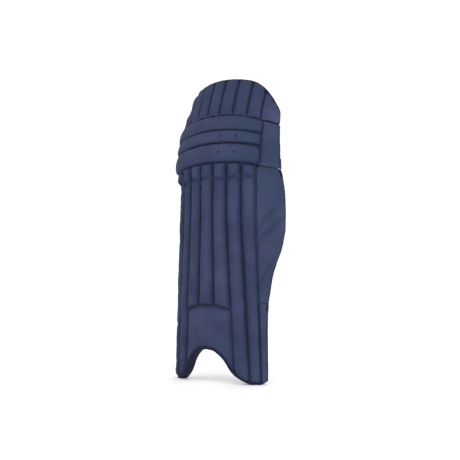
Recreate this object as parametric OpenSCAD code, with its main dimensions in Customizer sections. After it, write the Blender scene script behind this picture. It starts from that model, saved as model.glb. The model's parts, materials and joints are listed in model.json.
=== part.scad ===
// Cricket leg pad for the left leg. +Z is up the shin, -Y faces the bowler, +X is the
// wearer's outer side. The pad is drawn on a bent half cylinder: u runs across the front from
// the centre line, s runs up the centre line from the sole, and d stands out from the front
// face of the shin shell (negative towards the leg).

/* [Shell] */
// Radius of the shell's front face across the leg
shell_r = 142.5; // [135:0.5:150]
// Radius of the flanks, where the shell straightens towards its edges
flank_r = 420; // [350:10:600]
// Distance across from the centre line to the start of a flank
flank_u = 115; // [114:1:118]
// Widening of the shell at the sole, as a share of its width
flare_sole = 0.12; // [0.08:0.01:0.14]
// Thickness of the shell's foam board
board_t = 13; // [10:0.5:14]
// Thickness of the lining
lining_t = 2; // [1.5:0.1:3]
// Height of the arch over the instep
arch_h = 74; // [60:1:80]

/* [Channels] */
// Pitch of the upright channels
pitch = 32.6; // [32:0.1:33]
// Number of upright channels
channel_n = 7; // [7:1:7]
// How far a shin channel swells in front of its seams
channel_puff = 9; // [8:0.5:11]
// How far a top hat channel swells in front of its seams
hat_puff = 7; // [5:0.5:9]
// Diameter of the cane in each shin channel
cane_d = 5.6; // [4:0.2:6]
// Height of the instep panel's top edge
instep_s = 172; // [165:1:180]
// How far the seams beside the instep panel fan out at the sole
fan_w = 13; // [0:1:14]
// Height at which the seams have become parallel
fan_s = 370; // [340:10:400]

/* [Knee] */
// Height of the knee section's lower border
knee_s = 493; // [485:1:500]
// Depth of the lower knee roll
roll_low = 46; // [46:1:54]
// Depth of the middle knee roll
roll_mid = 32; // [30:1:36]
// Depth of the upper knee roll
roll_up = 38; // [30:1:38]
// How far a knee roll swells in front of its seams
roll_puff = 13; // [10:0.5:15]
// Height of the top hat above the knee rolls
hat_h = 103; // [95:1:110]

// Extra swell of the rolls towards the wearer's inner side
inner_puff = 6; // [0:0.5:8]

/* [Bend] */
// Backward lean at the knee section's lower border, in degrees
lean_knee = 8; // [6:0.5:9]
// Backward lean at the middle of the knee section, in degrees
lean_mid = 9; // [8:0.5:11]
// Backward lean at the top of the top hat, in degrees
lean_hat = 21.7; // [18:0.1:24]
// Fold of each knee hinge, in degrees
fold = 8; // [4:1:9]
// Depth of the knee hinges behind the shell's front face
hinge_y = 20; // [16:1:24]

/* [Straps] */
// Height of the ankle strap
ankle_s = 120; // [110:1:130]
// Height of the calf strap
calf_s = 330; // [320:1:345]
// Height of the knee strap
kneestrap_s = 515; // [513:1:517]
// Width of the calf and ankle straps
strap_w = 38; // [30:1:42]
// Width of the knee strap
kneestrap_w = 28; // [24:1:30]
// Thickness of the webbing
web_t = 2.2; // [1.8:0.1:2.6]

/* [Hidden] */

DEG = 180 / PI;
navy = [0.20, 0.22, 0.36];
dark_navy = [0.12, 0.14, 0.26];
lining_grey = [0.28, 0.30, 0.38];
foam_white = [0.86, 0.86, 0.82];
cane_tan = [0.78, 0.66, 0.42];
hook_black = [0.10, 0.10, 0.12];
eyelet_grey = [0.45, 0.47, 0.52];

// Seam heights up the centre line: the knee section's border, the grooves, the top hat
s1 = knee_s;
s2 = s1 + roll_low;
s3 = s2 + roll_mid;
s4 = s3 + roll_up;
s5 = s4 + hat_h;
bend_s = s1 - 23;
gap = 0.4;
edge_w = 2.4;
skin_t = 3;
half_w = pitch * channel_n / 2;
col = pitch / 4;
cols_n = channel_n * 2;
edge_u = half_w + 9;
foot_u = 126.5;
wing_s = 174;
side_edge = 169;
flange_u = 160;
bolster_in = 22;
bolster_out = 56;
bolster_s = 130;
cup_u = 58;
roll_in = half_w + 20;
eyelet_r = 3.2;
eyelet_hole_r = 1.6;
cane_s = 205;

// Moves the pad so that the origin is the middle of its bottom
shift_x = -3.64;
shift_y = -74.23;

// ---- The master surface ----

lean_at = [[0, 0], [bend_s, 0], [s1, lean_knee], [(s1 + s4) / 2, lean_mid],
    [s4, (lean_mid + lean_hat) / 2], [s5, lean_hat]];
function lean(s) = lookup(s, lean_at);
step = 2.5;
spine = [for (s = 0, y = 0, z = 0; s <= s5 + 2 * step;
    y = y + step * sin(lean(s + step / 2)), z = z + step * cos(lean(s + step / 2)), s = s + step)
    [s, y, z]];
spine_y = [for (p = spine) [p[0], p[1]]];
spine_z = [for (p = spine) [p[0], p[2]]];
flare_at = [[0, 1 + flare_sole], [180, 1 + flare_sole / 2], [370, 1]];
function flare(s) = lookup(s, flare_at);

flank_a = flank_u / shell_r * DEG;
function turn(v) = v <= flank_u ? v / shell_r * DEG : flank_a + (v - flank_u) / flank_r * DEG;
function bow_x(v) = v <= flank_u
    ? shell_r * sin(turn(v))
    : shell_r * sin(flank_a) + flank_r * (sin(turn(v)) - sin(flank_a));
function bow_y(v) = v <= flank_u
    ? shell_r * (1 - cos(turn(v)))
    : shell_r * (1 - cos(flank_a)) + flank_r * (cos(flank_a) - cos(turn(v)));
// A point of the cross-section, seen down the spine
function plan(u, s, d) = let (v = abs(u), k = flare(s))
    [sign(u) * (bow_x(v) * k + d * sin(turn(v))), bow_y(v) * k - d * cos(turn(v))];
function level(p, s) = [p[0] + shift_x, spine_at_y(s) + p[1] * cos(lean(s)) + shift_y,
    spine_at_z(s) - p[1] * sin(lean(s))];
function spine_at_y(s) = lookup(s, spine_y);
function spine_at_z(s) = lookup(s, spine_z);
function surf(u, s, d) = level(plan(u, s, d), s);
// Clear height that a piece needs under a knee hinge, so that the fold closes without touching.
// The levels crowd together behind the spine where the lean grows, which the divisor allows for
function room(u, s, d) = let (y = plan(u, s, d)[1])
    (gap + max(0, y - hinge_y) * tan(fold + 0.6)) / (1 - y * (lean(s) - lean(s - step)) / step / DEG);

// ---- Outlines ----

arch_at = [[0, arch_h], [19, arch_h - 3], [33, arch_h - 14], [43, arch_h - 26], [53, 29],
    [62, 18], [76, 8], [90, 1], [97, 0], [112, 0], [119, 2], [foot_u, 8]];
function sole(u) = lookup(abs(u), arch_at);
// The sole's line raised by g, measured square to the line
function sole_up(u, g) = sole(u) + g * sqrt(1 + pow((sole(u + 1) - sole(u - 1)) / 2, 2));
outer_at = [[0, foot_u], [47, 128.5], [120, 131], [156, 133], [182, 137], [236, 148], [265, 158],
    [296, 172], [340, 184], [380, 187], [430, 185], [455, 181], [s1, 174]];
function outer_edge(s) = lookup(s, outer_at);
hat_at = [[0, s5], [75, s5], [92, s5 - 3], [109, s5 - 11], [127, s5 - 25], [144, s5 - 44],
    [158, s5 - 64], [166, s5 - 86]];
function hat_top(u) = lookup(abs(u), hat_at);
function hat_down(u, g) = hat_top(u) - g * sqrt(1 + pow((hat_top(u + 1) - hat_top(u - 1)) / 2, 2));
instep_at = [[0, instep_s], [20, instep_s - 2], [40, instep_s - 8], [49, instep_s - 13]];
function instep_top(u) = lookup(abs(u), instep_at);

// ---- Solids on the surface ----

// Place across of a seam or panel at height s: they fan out towards the sole
function fan(u, s) = u + sign(u) * fan_w * max(0, 1 - s / fan_s) * sin(180 * abs(u) / half_w);

// Closed slab over a grid: at(a, b) gives [u, s], front and back give d there
module slab(as, bs, at, front, back) {
    nb = len(bs);
    na = len(as);
    n = na * nb;
    pts = [for (f = [front, back]) for (a = as) for (b = bs) let (p = at(a, b))
        surf(p[0], p[1], f(a, b))];
    closed_grid(pts, na, nb, n);
}

// Joins two grids of na by nb points into one closed solid
module closed_grid(pts, na, nb, n) {
    skins = [for (i = [0:na - 2]) for (j = [0:nb - 2])
        let (k = i * nb + j)
        each [[k, k + 1, k + nb + 1], [k, k + nb + 1, k + nb],
            [n + k, n + k + nb + 1, n + k + 1], [n + k, n + k + nb, n + k + nb + 1]]];
    rim = concat([for (j = [0:nb - 2]) j], [for (i = [0:na - 2]) i * nb + nb - 1],
        [for (j = [nb - 1:-1:1]) (na - 1) * nb + j], [for (i = [na - 1:-1:1]) i * nb]);
    m = len(rim);
    walls = [for (i = [0:m - 1]) let (p = rim[i], q = rim[(i + 1) % m])
        each [[p, n + p, n + q], [p, n + q, q]]];
    polyhedron(pts, concat(skins, walls), convexity = 4);
}

function steps(n) = [for (i = [0:n]) i / n];
function mix(a, b, t) = a + (b - a) * t;
function grid_cols(lo, hi) = [for (i = [lo:hi]) i * col];
// Swell between two seams, at t from 0 to 1
function swell(t) = pow(sin(180 * t), 0.7);

// Ribbon of webbing along a plan path, w wide, from depth lo to hi outside the path
module ribbon(path, s, w, lo, hi) {
    na = len(path);
    side = function(i) let (p = path[max(i - 1, 0)], q = path[min(i + 1, na - 1)], t = q - p)
        [t[1], -t[0]] / norm(t);
    pts = [for (d = [hi, lo]) for (i = [0:na - 1]) for (e = [-w / 2, w / 2])
        level(path[i] + side(i) * d, s + e)];
    closed_grid(pts, na, 2, 2 * na);
}

// ---- Shin ----

shin_rows = [60, 120, 180, 270, 370, 430, bend_s, bend_s + 12];
module shin_slab(us, front, back, lo, hi) {
    rows = [for (i = [0:len(shin_rows) + 1]) i];
    last = len(shin_rows) + 1;
    row = function(a, b) let (r = shin_rows[b - 1]) r < lo(a) ? mix(lo(a), shin_rows[2], b / 3) : r;
    at = function(a, b) [a, b == 0 ? lo(a) : b == last ? hi(a) : row(a, b)];
    slab(us, rows, at, front, back);
}

module shin_board(us, front, back, g) {
    shin_slab(us, function(a, b) front, function(a, b) back,
        function(u) sole_up(u, g), function(u) s1 - room(u, s1, back));
}

module shin_shell() color(foam_white)
    shin_board(grid_cols(-cols_n, cols_n), 0, -board_t, edge_w + 2 * gap);

module shin_lining() color(lining_grey)
    shin_board(grid_cols(-cols_n, cols_n), -board_t - gap, -board_t - gap - lining_t,
        edge_w + 2 * gap);

// Channel k from 1 to 7: a padded skin, hollow behind for its cane, closed at both ends
module shin_channel(k) {
    mid = (k - (channel_n + 1) / 2) * pitch;
    over_instep = abs(mid) < pitch * 1.2;
    lo = function(u) over_instep
        ? instep_top(u) + 2 * gap
        : sole_up(fan(u, sole(u)), edge_w + 3 * gap);
    hi = function(u) s1 - room(u, s1, 0) - gap;
    rows = over_instep ? [0, 0.03, 0.1, 0.4, 0.65, 1, 2, 3] : [0, 0.05, 0.3, 0.5, 0.8, 1, 2, 3];
    at = function(a, b) let (u = mid + (a - 0.5) * (pitch - 2 * gap),
        s = b <= 1 ? mix(lo(u), bend_s, b) : b == 2 ? bend_s + 12 : hi(u))
        [fan(u, s), s];
    low = k == 1 ? 1 : 0.55;
    puff = function(b) b == 0 || b == 3 ? 0.35 : over_instep ? 1 : mix(low, 1, min(b * 2, 1));
    front = function(a, b) gap + skin_t + channel_puff * puff(b) * swell(a);
    back = function(a, b) max(gap, front(a, b) - skin_t - 1.5);
    color(navy) slab(steps(8), rows, at, front, back);
}

module shin_canes() color(cane_tan)
    for (k = [1:channel_n]) {
        mid = (k - (channel_n + 1) / 2) * pitch;
        d = gap * 2 + cane_d / 2;
        rod(surf(fan(mid, cane_s), cane_s, d), surf(mid, bend_s - 24, d), cane_d);
    }

// Straight rod between two points
module rod(p, q, d) {
    v = q - p;
    translate(p)
        rotate([0, acos(v[2] / norm(v)), atan2(v[1], v[0])])
            cylinder(h = norm(v), d = d, $fn = 24);
}

module instep_panel() {
    w = pitch * 1.5 - gap;
    at = function(a, b) let (u = (a - 0.5) * 2 * w,
        s = mix(sole_up(fan(u, sole(u)), edge_w + 1.5 * gap), instep_top(u) - gap, b))
        [fan(u, s), s];
    front = function(a, b) gap + 3 + 3 * pow(sin(180 * a), 0.4) * pow(sin(180 * b), 0.5);
    color(navy) slab(steps(12), [0, 0.15, 0.5, 0.85, 1], at, front, function(a, b) gap);
}

module lower_binding() {
    us = concat([-edge_u, -119], grid_cols(-cols_n, cols_n), [119, foot_u]);
    at = function(a, b) [a, b == 0 ? sole(a) : sole_up(a, edge_w)];
    color(dark_navy)
        slab(us, [0, 1], at, function(a, b) 4, function(a, b) -board_t - gap - lining_t);
}

module inner_binding() {
    at = function(a, b) [-edge_u - a * edge_w, b];
    color(dark_navy)
        slab([0, 1], [12, 60, 120, 180, 270, 370, 430, bend_s, bend_s + 8], at,
            function(a, b) 3, function(a, b) -board_t - gap - lining_t);
}

module side_strip(us, top) {
    rows = [for (s = shin_rows) if (s < top - 10) s];
    last = len(rows) + 1;
    back = -board_t - gap - lining_t;
    at = function(a, b) [us(a, b == 0 ? 0 : b == last ? top : rows[b - 1]),
        b == 0 ? sole_up(us(a, 0), edge_w + gap)
            : b == last ? (top > wing_s ? top - room(us(a, top), top, back) : top) : rows[b - 1]];
    color(navy) slab([0, 0.5, 1], [for (i = [0:last]) i], at, function(a, b) 3.4,
        function(a, b) back);
}

module inner_side_strip()
    side_strip(function(a, s) mix(-edge_u + gap, -half_w - gap, a), s1);

module outer_side_strip()
    side_strip(function(a, s) mix(half_w + gap, outer_edge(s), a), wing_s - gap);

// Padded bolsters that sit either side of the shin bone
module shin_bolsters() {
    front = function(a, b) -board_t - 2 * gap - lining_t;
    back = function(a, b) front(a, b) - 2 - 11 * swell(a) * pow(sin(180 * b), 0.3);
    color(lining_grey)
        for (side = [-1, 1])
            slab(steps(6), [0, 0.06, 0.3, 0.6, 0.94, 1],
                function(a, b) [
                    side > 0 ? mix(bolster_in, bolster_out, a) : mix(-bolster_out, -bolster_in, a),
                    mix(bolster_s, bend_s - 10, b)], front, back);
}

// ---- Wing ----

wing_rows = [wing_s, 205, 236, 265, 296, 340, 380, 430, bend_s, s1];
module wing_layer(front, back) {
    at = function(a, b) let (u = mix(half_w + 3 * gap, outer_edge(b) - edge_w - gap, a))
        [u, b == s1 ? s1 - room(u, s1, back) : b];
    color(navy) slab(steps(7), wing_rows, at, function(a, b) front, function(a, b) back);
}

module wing_cover() wing_layer(2.4, -1);

module wing_foam() wing_layer(-1 - gap, -board_t);

module wing_lining() wing_layer(-board_t - gap, -board_t - gap - lining_t);

module wing_binding() {
    back = -board_t - gap - lining_t;
    at = function(a, b) let (u = outer_edge(b) - edge_w * (1 - a))
        [u, b == s1 ? s1 - room(u, s1, back) : b];
    color(dark_navy)
        slab([0, 1], wing_rows, at, function(a, b) 2.4, function(a, b) back);
}

// ---- Knee rolls ----

// Swell of a roll between seams lo and hi
function puff_of(lo, hi) = roll_puff * (hi - lo > roll_up ? 1.15 : 1);

// Padded skin over a roll between seams lo and hi, thicker towards the wearer's inner side
module roll(lo, hi) {
    end = function(a) min(1, (a > 0 ? half_w + 5 - a : roll_in + a) / 14 + 0.35);
    inner = function(a) inner_puff * min(1, max(0, -a - flank_u / 2) / flank_u * 2);
    front = function(a, b) gap + skin_t + (puff_of(lo, hi) + inner(a)) * swell(b) * end(a);
    back = function(a, b) max(gap, front(a, b) - skin_t);
    color(navy) roll_slab(lo, hi, roll_cols, steps(8), front, back);
}

roll_cols = concat([-roll_in, -roll_in + 10], grid_cols(-cols_n, cols_n), [half_w + 5]);

module roll_slab(lo, hi, us, bs, front, back) {
    at = function(a, b) [a, mix(lo + gap, hi - room(a, hi, back(a, b)), b)];
    slab(us, bs, at, front, back);
}

// Foam core inside a roll's skin
module core(lo, hi) {
    front = function(a, b) gap + roll_puff * swell(b) * 0.8;
    color(foam_white)
        roll_slab(lo, hi, [for (i = [-cols_n + 1:cols_n - 1]) i * col], [0.2, 0.35, 0.5, 0.65, 0.8],
            front, function(a, b) gap);
}

module backing(lo, hi) color(lining_grey)
    roll_slab(lo, hi, roll_cols, [0, 0.5, 1], function(a, b) 0, function(a, b) -board_t);

// Side panel segment beside a roll, on the wearer's outer side
module side_panel(lo, hi) {
    back = -board_t;
    at = function(a, b) let (u = mix(half_w + 5 + gap, side_edge, a))
        [u, mix(lo + gap, hi - room(u, hi, back), b)];
    color(navy) slab(steps(5), [0, 0.5, 1], at, function(a, b) 2 + 2 * sin(180 * a),
        function(a, b) back);
}

// Vent eyelets in a row on a roll
module eyelets(lo, hi, us) {
    d = gap + skin_t + puff_of(lo, hi) + 0.3;
    s = (lo + hi - gap) / 2;
    color(eyelet_grey)
        for (u = us)
            translate(surf(u, s, d))
                rotate([90 - lean(s), 0, turn(u)])
                    difference() {
                        cylinder(h = 1.2, r = eyelet_r, $fn = 32);
                        translate([0, 0, -1]) cylinder(h = 4, r = eyelet_hole_r, $fn = 32);
                    }
}

eyelet_us = [pitch, 2 * pitch];
module knee_lower_roll() roll(s1, s2);
module knee_lower_core() core(s1, s2);
module knee_lower_backing() backing(s1, s2);
module knee_lower_side() side_panel(s1, s2);
module knee_lower_eyelets() eyelets(s1, s2, eyelet_us);
module knee_middle_roll() roll(s2, s3);
module knee_middle_core() core(s2, s3);
module knee_middle_backing() backing(s2, s3);
module knee_middle_side() side_panel(s2, s3);
module knee_middle_eyelets() eyelets(s2, s3, eyelet_us);
module knee_upper_roll() roll(s3, s4);
module knee_upper_core() core(s3, s4);
module knee_upper_backing() backing(s3, s4);
module knee_upper_side() side_panel(s3, s4);

// Cushion behind the middle roll, over the kneecap
module knee_cup() {
    back = function(a, b) -board_t - gap - 3 - 9 * swell(a) * pow(sin(180 * b), 0.5);
    at = function(a, b) let (u = mix(-cup_u, cup_u, a))
        [u, mix(s2 + 2, s3 - 1 - room(u, s3, -board_t - 12), b)];
    color(lining_grey)
        slab(steps(12), steps(4), at, function(a, b) -board_t - gap, back);
}

// ---- Top hat ----

module hat_layer(front, back) {
    at = function(a, b) [a, mix(s4 + gap, hat_down(a, edge_w + gap), b)];
    slab(grid_cols(-cols_n, cols_n), [0, 0.33, 0.67, 1], at, function(a, b) front,
        function(a, b) back);
}

hat_t = 11;
hat_back = -hat_t - gap - lining_t;
module top_hat_shell() color(foam_white) hat_layer(0, -hat_t);

module top_hat_lining() color(lining_grey) hat_layer(-hat_t - gap, hat_back);

module top_hat_channel(k) {
    mid = (k - (channel_n + 1) / 2) * pitch;
    at = function(a, b) let (u = mid + (a - 0.5) * (pitch - 2 * gap))
        [u, mix(s4 + 2 * gap, hat_down(u, edge_w + gap), b)];
    front = function(a, b) gap + 3 + hat_puff * swell(a) * (b == 0 || b == 1 ? 0.3 : 1);
    color(navy)
        slab(steps(8), [0, 0.1, 0.4, 0.65, 0.9, 1], at, front, function(a, b) gap);
}

module hat_flange(side) {
    us = [for (i = [0:5]) mix(half_w + gap, flange_u, i / 5)];
    at = function(a, b) [side * a, mix(s4 + gap, hat_down(a, edge_w + gap), b)];
    puff = side > 0 ? 1 : hat_puff + inner_puff;
    front = function(a, b) gap + 3 + puff * swell((a - half_w) / 60) * (b == 0 || b == 1 ? 0.3 : 1);
    color(navy)
        slab(side > 0 ? us : [for (i = [5:-1:0]) us[i]], [0, 0.15, 0.67, 1], at, front,
            function(a, b) hat_back);
}

module top_hat_flange_inner() hat_flange(-1);
module top_hat_flange_outer() hat_flange(1);

module top_hat_binding() {
    ends = [for (inset = [0, 6, 16, 26, 36]) flange_u - inset];
    us = concat([for (u = ends) -u], grid_cols(-cols_n, cols_n), [for (i = [4:-1:0]) ends[i]]);
    at = function(a, b) [a, b == 0 ? hat_down(a, edge_w) : hat_top(a)];
    color(dark_navy) slab(us, [0, 1], at, function(a, b) 3.4, function(a, b) hat_back);
}

// ---- Straps ----

// Cubic curve through plan points
function curve(p, q, r, t, n) = [for (i = [0:n]) let (x = i / n)
    p * pow(1 - x, 3) + q * 3 * x * pow(1 - x, 2) + r * 3 * x * x * (1 - x) + t * pow(x, 3)];

web_d = -board_t - lining_t - 2 * gap - web_t / 2;
bend_n = 14;
overlap = 7;
root_out = 3.6;
root_pull = 30;
outer_pull = 52;
inner_pull = 64;
tab_pull = 48;
strap_off = 0.2;
hook_t = 1;
tab_off = 1.6;
// Loop from the outer edge u_out round the back of the leg to the inner edge
function loop(s, u_out, back_x, back_y) = let (
    p = plan(u_out + root_out, s, web_d),
    q = plan(-edge_u - 1, s, web_d),
    b = turn(edge_u),
    m = [back_x, back_y],
    home = curve(m, m - [inner_pull, 0], q + [-cos(b), sin(b)] * tab_pull, q, bend_n))
    concat(curve(p, p + [-0.6, 0.8] * root_pull, m + [outer_pull, 0], m, bend_n),
        [for (i = [1:bend_n]) home[i]]);

function span(list, lo, hi) = [for (i = [lo:hi]) list[i]];
last_i = 2 * bend_n;
strap_end = last_i - 5;

module strap(l, s, w) color(dark_navy)
    ribbon(span(l, 0, strap_end), s, w, strap_off, strap_off + web_t);
module hook_patch(l, s, w) color(hook_black)
    ribbon(span(l, strap_end - overlap, strap_end), s, w - 6, -strap_off - hook_t, -strap_off);
// Tab sewn inside the inner edge, with its loop face towards the strap's hooks
module tab(l, s, w) color(dark_navy)
    ribbon(concat(span(l, strap_end - overlap - 1, last_i),
        [for (u = [-edge_u + 6, -half_w + 4]) plan(u, s, web_d)]), s, w, -tab_off - web_t, -tab_off);
// Webbing sewn inside the outer edge, where the strap starts
module anchor(s, w, u_in, u_out) color(dark_navy)
    ribbon([for (i = [0:3]) plan(mix(u_in, u_out, i / 3), s, web_d)], s, w, -web_t / 2, web_t / 2);

ankle_loop = loop(ankle_s, outer_edge(ankle_s), 0, 142);
calf_loop = loop(calf_s, outer_edge(calf_s), 18, 158);
knee_loop = loop(kneestrap_s, side_edge, 14, 156);
module ankle_strap() strap(ankle_loop, ankle_s, strap_w);
module ankle_strap_hook() hook_patch(ankle_loop, ankle_s, strap_w);
module ankle_tab() tab(ankle_loop, ankle_s, strap_w);
module ankle_strap_anchor()
    anchor(ankle_s, strap_w, half_w + 3, outer_edge(ankle_s) - 1);
module calf_strap() strap(calf_loop, calf_s, strap_w);
module calf_strap_hook() hook_patch(calf_loop, calf_s, strap_w);
module calf_tab() tab(calf_loop, calf_s, strap_w);
module calf_strap_anchor()
    anchor(calf_s, strap_w, outer_edge(calf_s) - 26, outer_edge(calf_s) - 1);
module knee_strap() strap(knee_loop, kneestrap_s, kneestrap_w);
module knee_strap_hook() hook_patch(knee_loop, kneestrap_s, kneestrap_w);
module knee_tab() tab(knee_loop, kneestrap_s, kneestrap_w);
module knee_strap_anchor() anchor(kneestrap_s, kneestrap_w, side_edge - 26, side_edge - 1);

// ---- The parts ----

shin_shell();
shin_lining();
shin_channel(1);  // shin_channel_1
shin_channel(2);  // shin_channel_2
shin_channel(3);  // shin_channel_3
shin_channel(4);  // shin_channel_4
shin_channel(5);  // shin_channel_5
shin_channel(6);  // shin_channel_6
shin_channel(7);  // shin_channel_7
shin_canes();
instep_panel();
lower_binding();
inner_binding();
inner_side_strip();
outer_side_strip();
shin_bolsters();
ankle_strap_anchor();
ankle_tab();
calf_tab();
wing_cover();
wing_foam();
wing_lining();
wing_binding();
calf_strap_anchor();
knee_lower_roll();
knee_lower_core();
knee_lower_backing();
knee_lower_side();
knee_lower_eyelets();
knee_strap_anchor();
knee_tab();
knee_middle_roll();
knee_middle_core();
knee_middle_backing();
knee_middle_side();
knee_middle_eyelets();
knee_cup();
knee_upper_roll();
knee_upper_core();
knee_upper_backing();
knee_upper_side();
top_hat_shell();
top_hat_lining();
top_hat_channel(1);  // top_hat_channel_1
top_hat_channel(2);  // top_hat_channel_2
top_hat_channel(3);  // top_hat_channel_3
top_hat_channel(4);  // top_hat_channel_4
top_hat_channel(5);  // top_hat_channel_5
top_hat_channel(6);  // top_hat_channel_6
top_hat_channel(7);  // top_hat_channel_7
top_hat_flange_inner();
top_hat_flange_outer();
top_hat_binding();
ankle_strap();
ankle_strap_hook();
calf_strap();
calf_strap_hook();
knee_strap();
knee_strap_hook();
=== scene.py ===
"""The looks of the cricket leg pad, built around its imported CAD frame.

Sizes are in millimetres, as in the CAD source, and become metres when a mesh is made. The pad is
drawn on a bent half cylinder: u runs across the front from the centre line, s runs up the centre
line from the sole, and d stands out from the shell's front face.
"""
import json
import math

import bmesh
import bpy
import numpy as np
from mathutils import Matrix, Vector

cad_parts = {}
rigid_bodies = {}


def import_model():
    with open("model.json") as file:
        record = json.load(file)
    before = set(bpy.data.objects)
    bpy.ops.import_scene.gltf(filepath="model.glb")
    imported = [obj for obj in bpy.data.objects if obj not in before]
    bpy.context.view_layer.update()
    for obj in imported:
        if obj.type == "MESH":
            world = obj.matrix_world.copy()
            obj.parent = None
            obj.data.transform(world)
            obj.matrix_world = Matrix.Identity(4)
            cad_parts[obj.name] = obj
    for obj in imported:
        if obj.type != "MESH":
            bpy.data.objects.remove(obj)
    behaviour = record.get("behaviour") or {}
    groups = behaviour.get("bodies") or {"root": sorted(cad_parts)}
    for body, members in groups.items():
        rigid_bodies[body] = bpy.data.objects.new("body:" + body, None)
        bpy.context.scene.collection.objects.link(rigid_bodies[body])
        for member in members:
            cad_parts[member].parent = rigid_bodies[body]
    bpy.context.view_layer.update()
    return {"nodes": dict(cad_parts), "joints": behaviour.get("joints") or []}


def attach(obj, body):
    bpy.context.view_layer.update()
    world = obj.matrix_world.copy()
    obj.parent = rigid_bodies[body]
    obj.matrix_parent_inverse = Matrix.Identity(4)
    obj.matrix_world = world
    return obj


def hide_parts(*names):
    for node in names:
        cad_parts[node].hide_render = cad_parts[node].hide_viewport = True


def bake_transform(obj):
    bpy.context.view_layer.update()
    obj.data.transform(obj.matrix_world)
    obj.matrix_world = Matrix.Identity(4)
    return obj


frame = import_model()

MM = 0.001

# ---- Driving dimensions ----

SHELL_R = 142.5
FLANK_R = 420
FLANK_U = 115
FLARE_SOLE = 0.12
BOARD_T = 13
LINING_T = 2
HAT_T = 11
PITCH = 32.6
CHANNEL_N = 7
CHANNEL_PUFF = 9
HAT_PUFF = 7
ROLL_PUFF = 13
INNER_PUFF = 6
ARCH_H = 74
INSTEP_S = 172
KNEE_S = 493
ROLL_DEPTHS = (46, 32, 38)
HAT_H = 103
LEAN_KNEE = 8
LEAN_MID = 9
LEAN_HAT = 21.7
FOLD = 8
HINGE_Y = 20
GAP = 0.4
EDGE_W = 2.4
SHIFT = (-3.64, -74.23)
WING_S = 174
FOOT_U = 126.5
FAN_W = 13
FAN_S = 370
SIDE_EDGE = 169
SIDE_LOW = 175
SIDE_HIGH = 163
WEB_T = 2.2
STRAPS = {"ankle": 120, "calf": 330, "knee": 515}
STRAP_W = {"ankle": 38, "calf": 38, "knee": 28}
LOOP_PARTS = 14
WING_TOP_U = 174
HAT_EDGE_U = 160
BOLSTER_US = (22, 56)
BOLSTER_S = 130
QUILT_KNEE = (38, 40)
SIDES = {-1: "inner", 1: "outer"}
LOOP_BACK = {"ankle": (0, 142), "calf": (18, 158), "knee": (14, 156)}

S1 = KNEE_S
S2 = S1 + ROLL_DEPTHS[0]
S3 = S2 + ROLL_DEPTHS[1]
S4 = S3 + ROLL_DEPTHS[2]
S5 = S4 + HAT_H
BEND_S = S1 - 23
HALF_W = PITCH * CHANNEL_N / 2
EDGE_U = HALF_W + 9
ROLL_IN = HALF_W + 20
SIDE_U = HALF_W + 5
LINING_D = -BOARD_T - GAP - LINING_T
HAT_BACK = -HAT_T - GAP - LINING_T
WEB_D = -BOARD_T - LINING_T - 2 * GAP - WEB_T / 2
SEAM_D = 1.6
CREASE_S = S1 - 35

# ---- The master surface ----


def table(points):
    """A function that reads straight lines between (x, y) points."""
    xs = [p[0] for p in points]
    ys = [p[1] for p in points]
    return lambda x: np.interp(x, xs, ys)


def soft_table(points, width):
    """The same with its corners rounded over width."""
    sharp = table(points)
    offsets = np.linspace(-0.5, 0.5, 9) * width
    return lambda x: sum(sharp(np.asarray(x, float) + o) for o in offsets) / len(offsets)


lean = table([(0, 0), (BEND_S, 0), (S1, LEAN_KNEE), ((S1 + S4) / 2, LEAN_MID),
              (S4, (LEAN_MID + LEAN_HAT) / 2), (S5, LEAN_HAT)])
STEP = 2.5
spine_s = np.arange(0, S5 + 2 * STEP, STEP)
tilt = np.radians(lean(spine_s + STEP / 2))
spine_y = np.concatenate([[0], np.cumsum(STEP * np.sin(tilt))[:-1]])
spine_z = np.concatenate([[0], np.cumsum(STEP * np.cos(tilt))[:-1]])
flare = table([(0, 1 + FLARE_SOLE), (180, 1 + FLARE_SOLE / 2), (370, 1)])
FLANK_A = FLANK_U / SHELL_R


def turn(v):
    return np.where(v <= FLANK_U, v / SHELL_R, FLANK_A + (v - FLANK_U) / FLANK_R)


def plan(u, s, d):
    """A point of the cross-section, seen down the spine."""
    v = np.abs(u)
    a = turn(v)
    near = np.minimum(a, FLANK_A)
    bow_x = SHELL_R * np.sin(near) + FLANK_R * (np.sin(a) - np.sin(near))
    bow_y = SHELL_R * (1 - np.cos(near)) + FLANK_R * (np.cos(near) - np.cos(a))
    return np.sign(u) * (bow_x * flare(s) + d * np.sin(a)), bow_y * flare(s) - d * np.cos(a)


def level(x, y, s):
    a = np.radians(lean(s))
    return np.stack([x + SHIFT[0] + 0 * a,
                     np.interp(s, spine_s, spine_y) + y * np.cos(a) + SHIFT[1],
                     np.interp(s, spine_s, spine_z) - y * np.sin(a)], -1)


def surf(u, s, d):
    u, s, d = np.broadcast_arrays(np.asarray(u, float), np.asarray(s, float),
                                  np.asarray(d, float))
    return level(*plan(u, s, d), s)


def room(u, s, d):
    """Height left clear under a knee hinge, so that the fold closes."""
    y = plan(u, s, d)[1]
    bend = np.radians(lean(s) - lean(s - STEP)) / STEP
    return (GAP + np.maximum(0, y - HINGE_Y) * math.tan(math.radians(FOLD + 0.6))) / (1 - y * bend)


def mix(a, b, t):
    return a + (b - a) * t


# ---- Outlines ----

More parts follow.
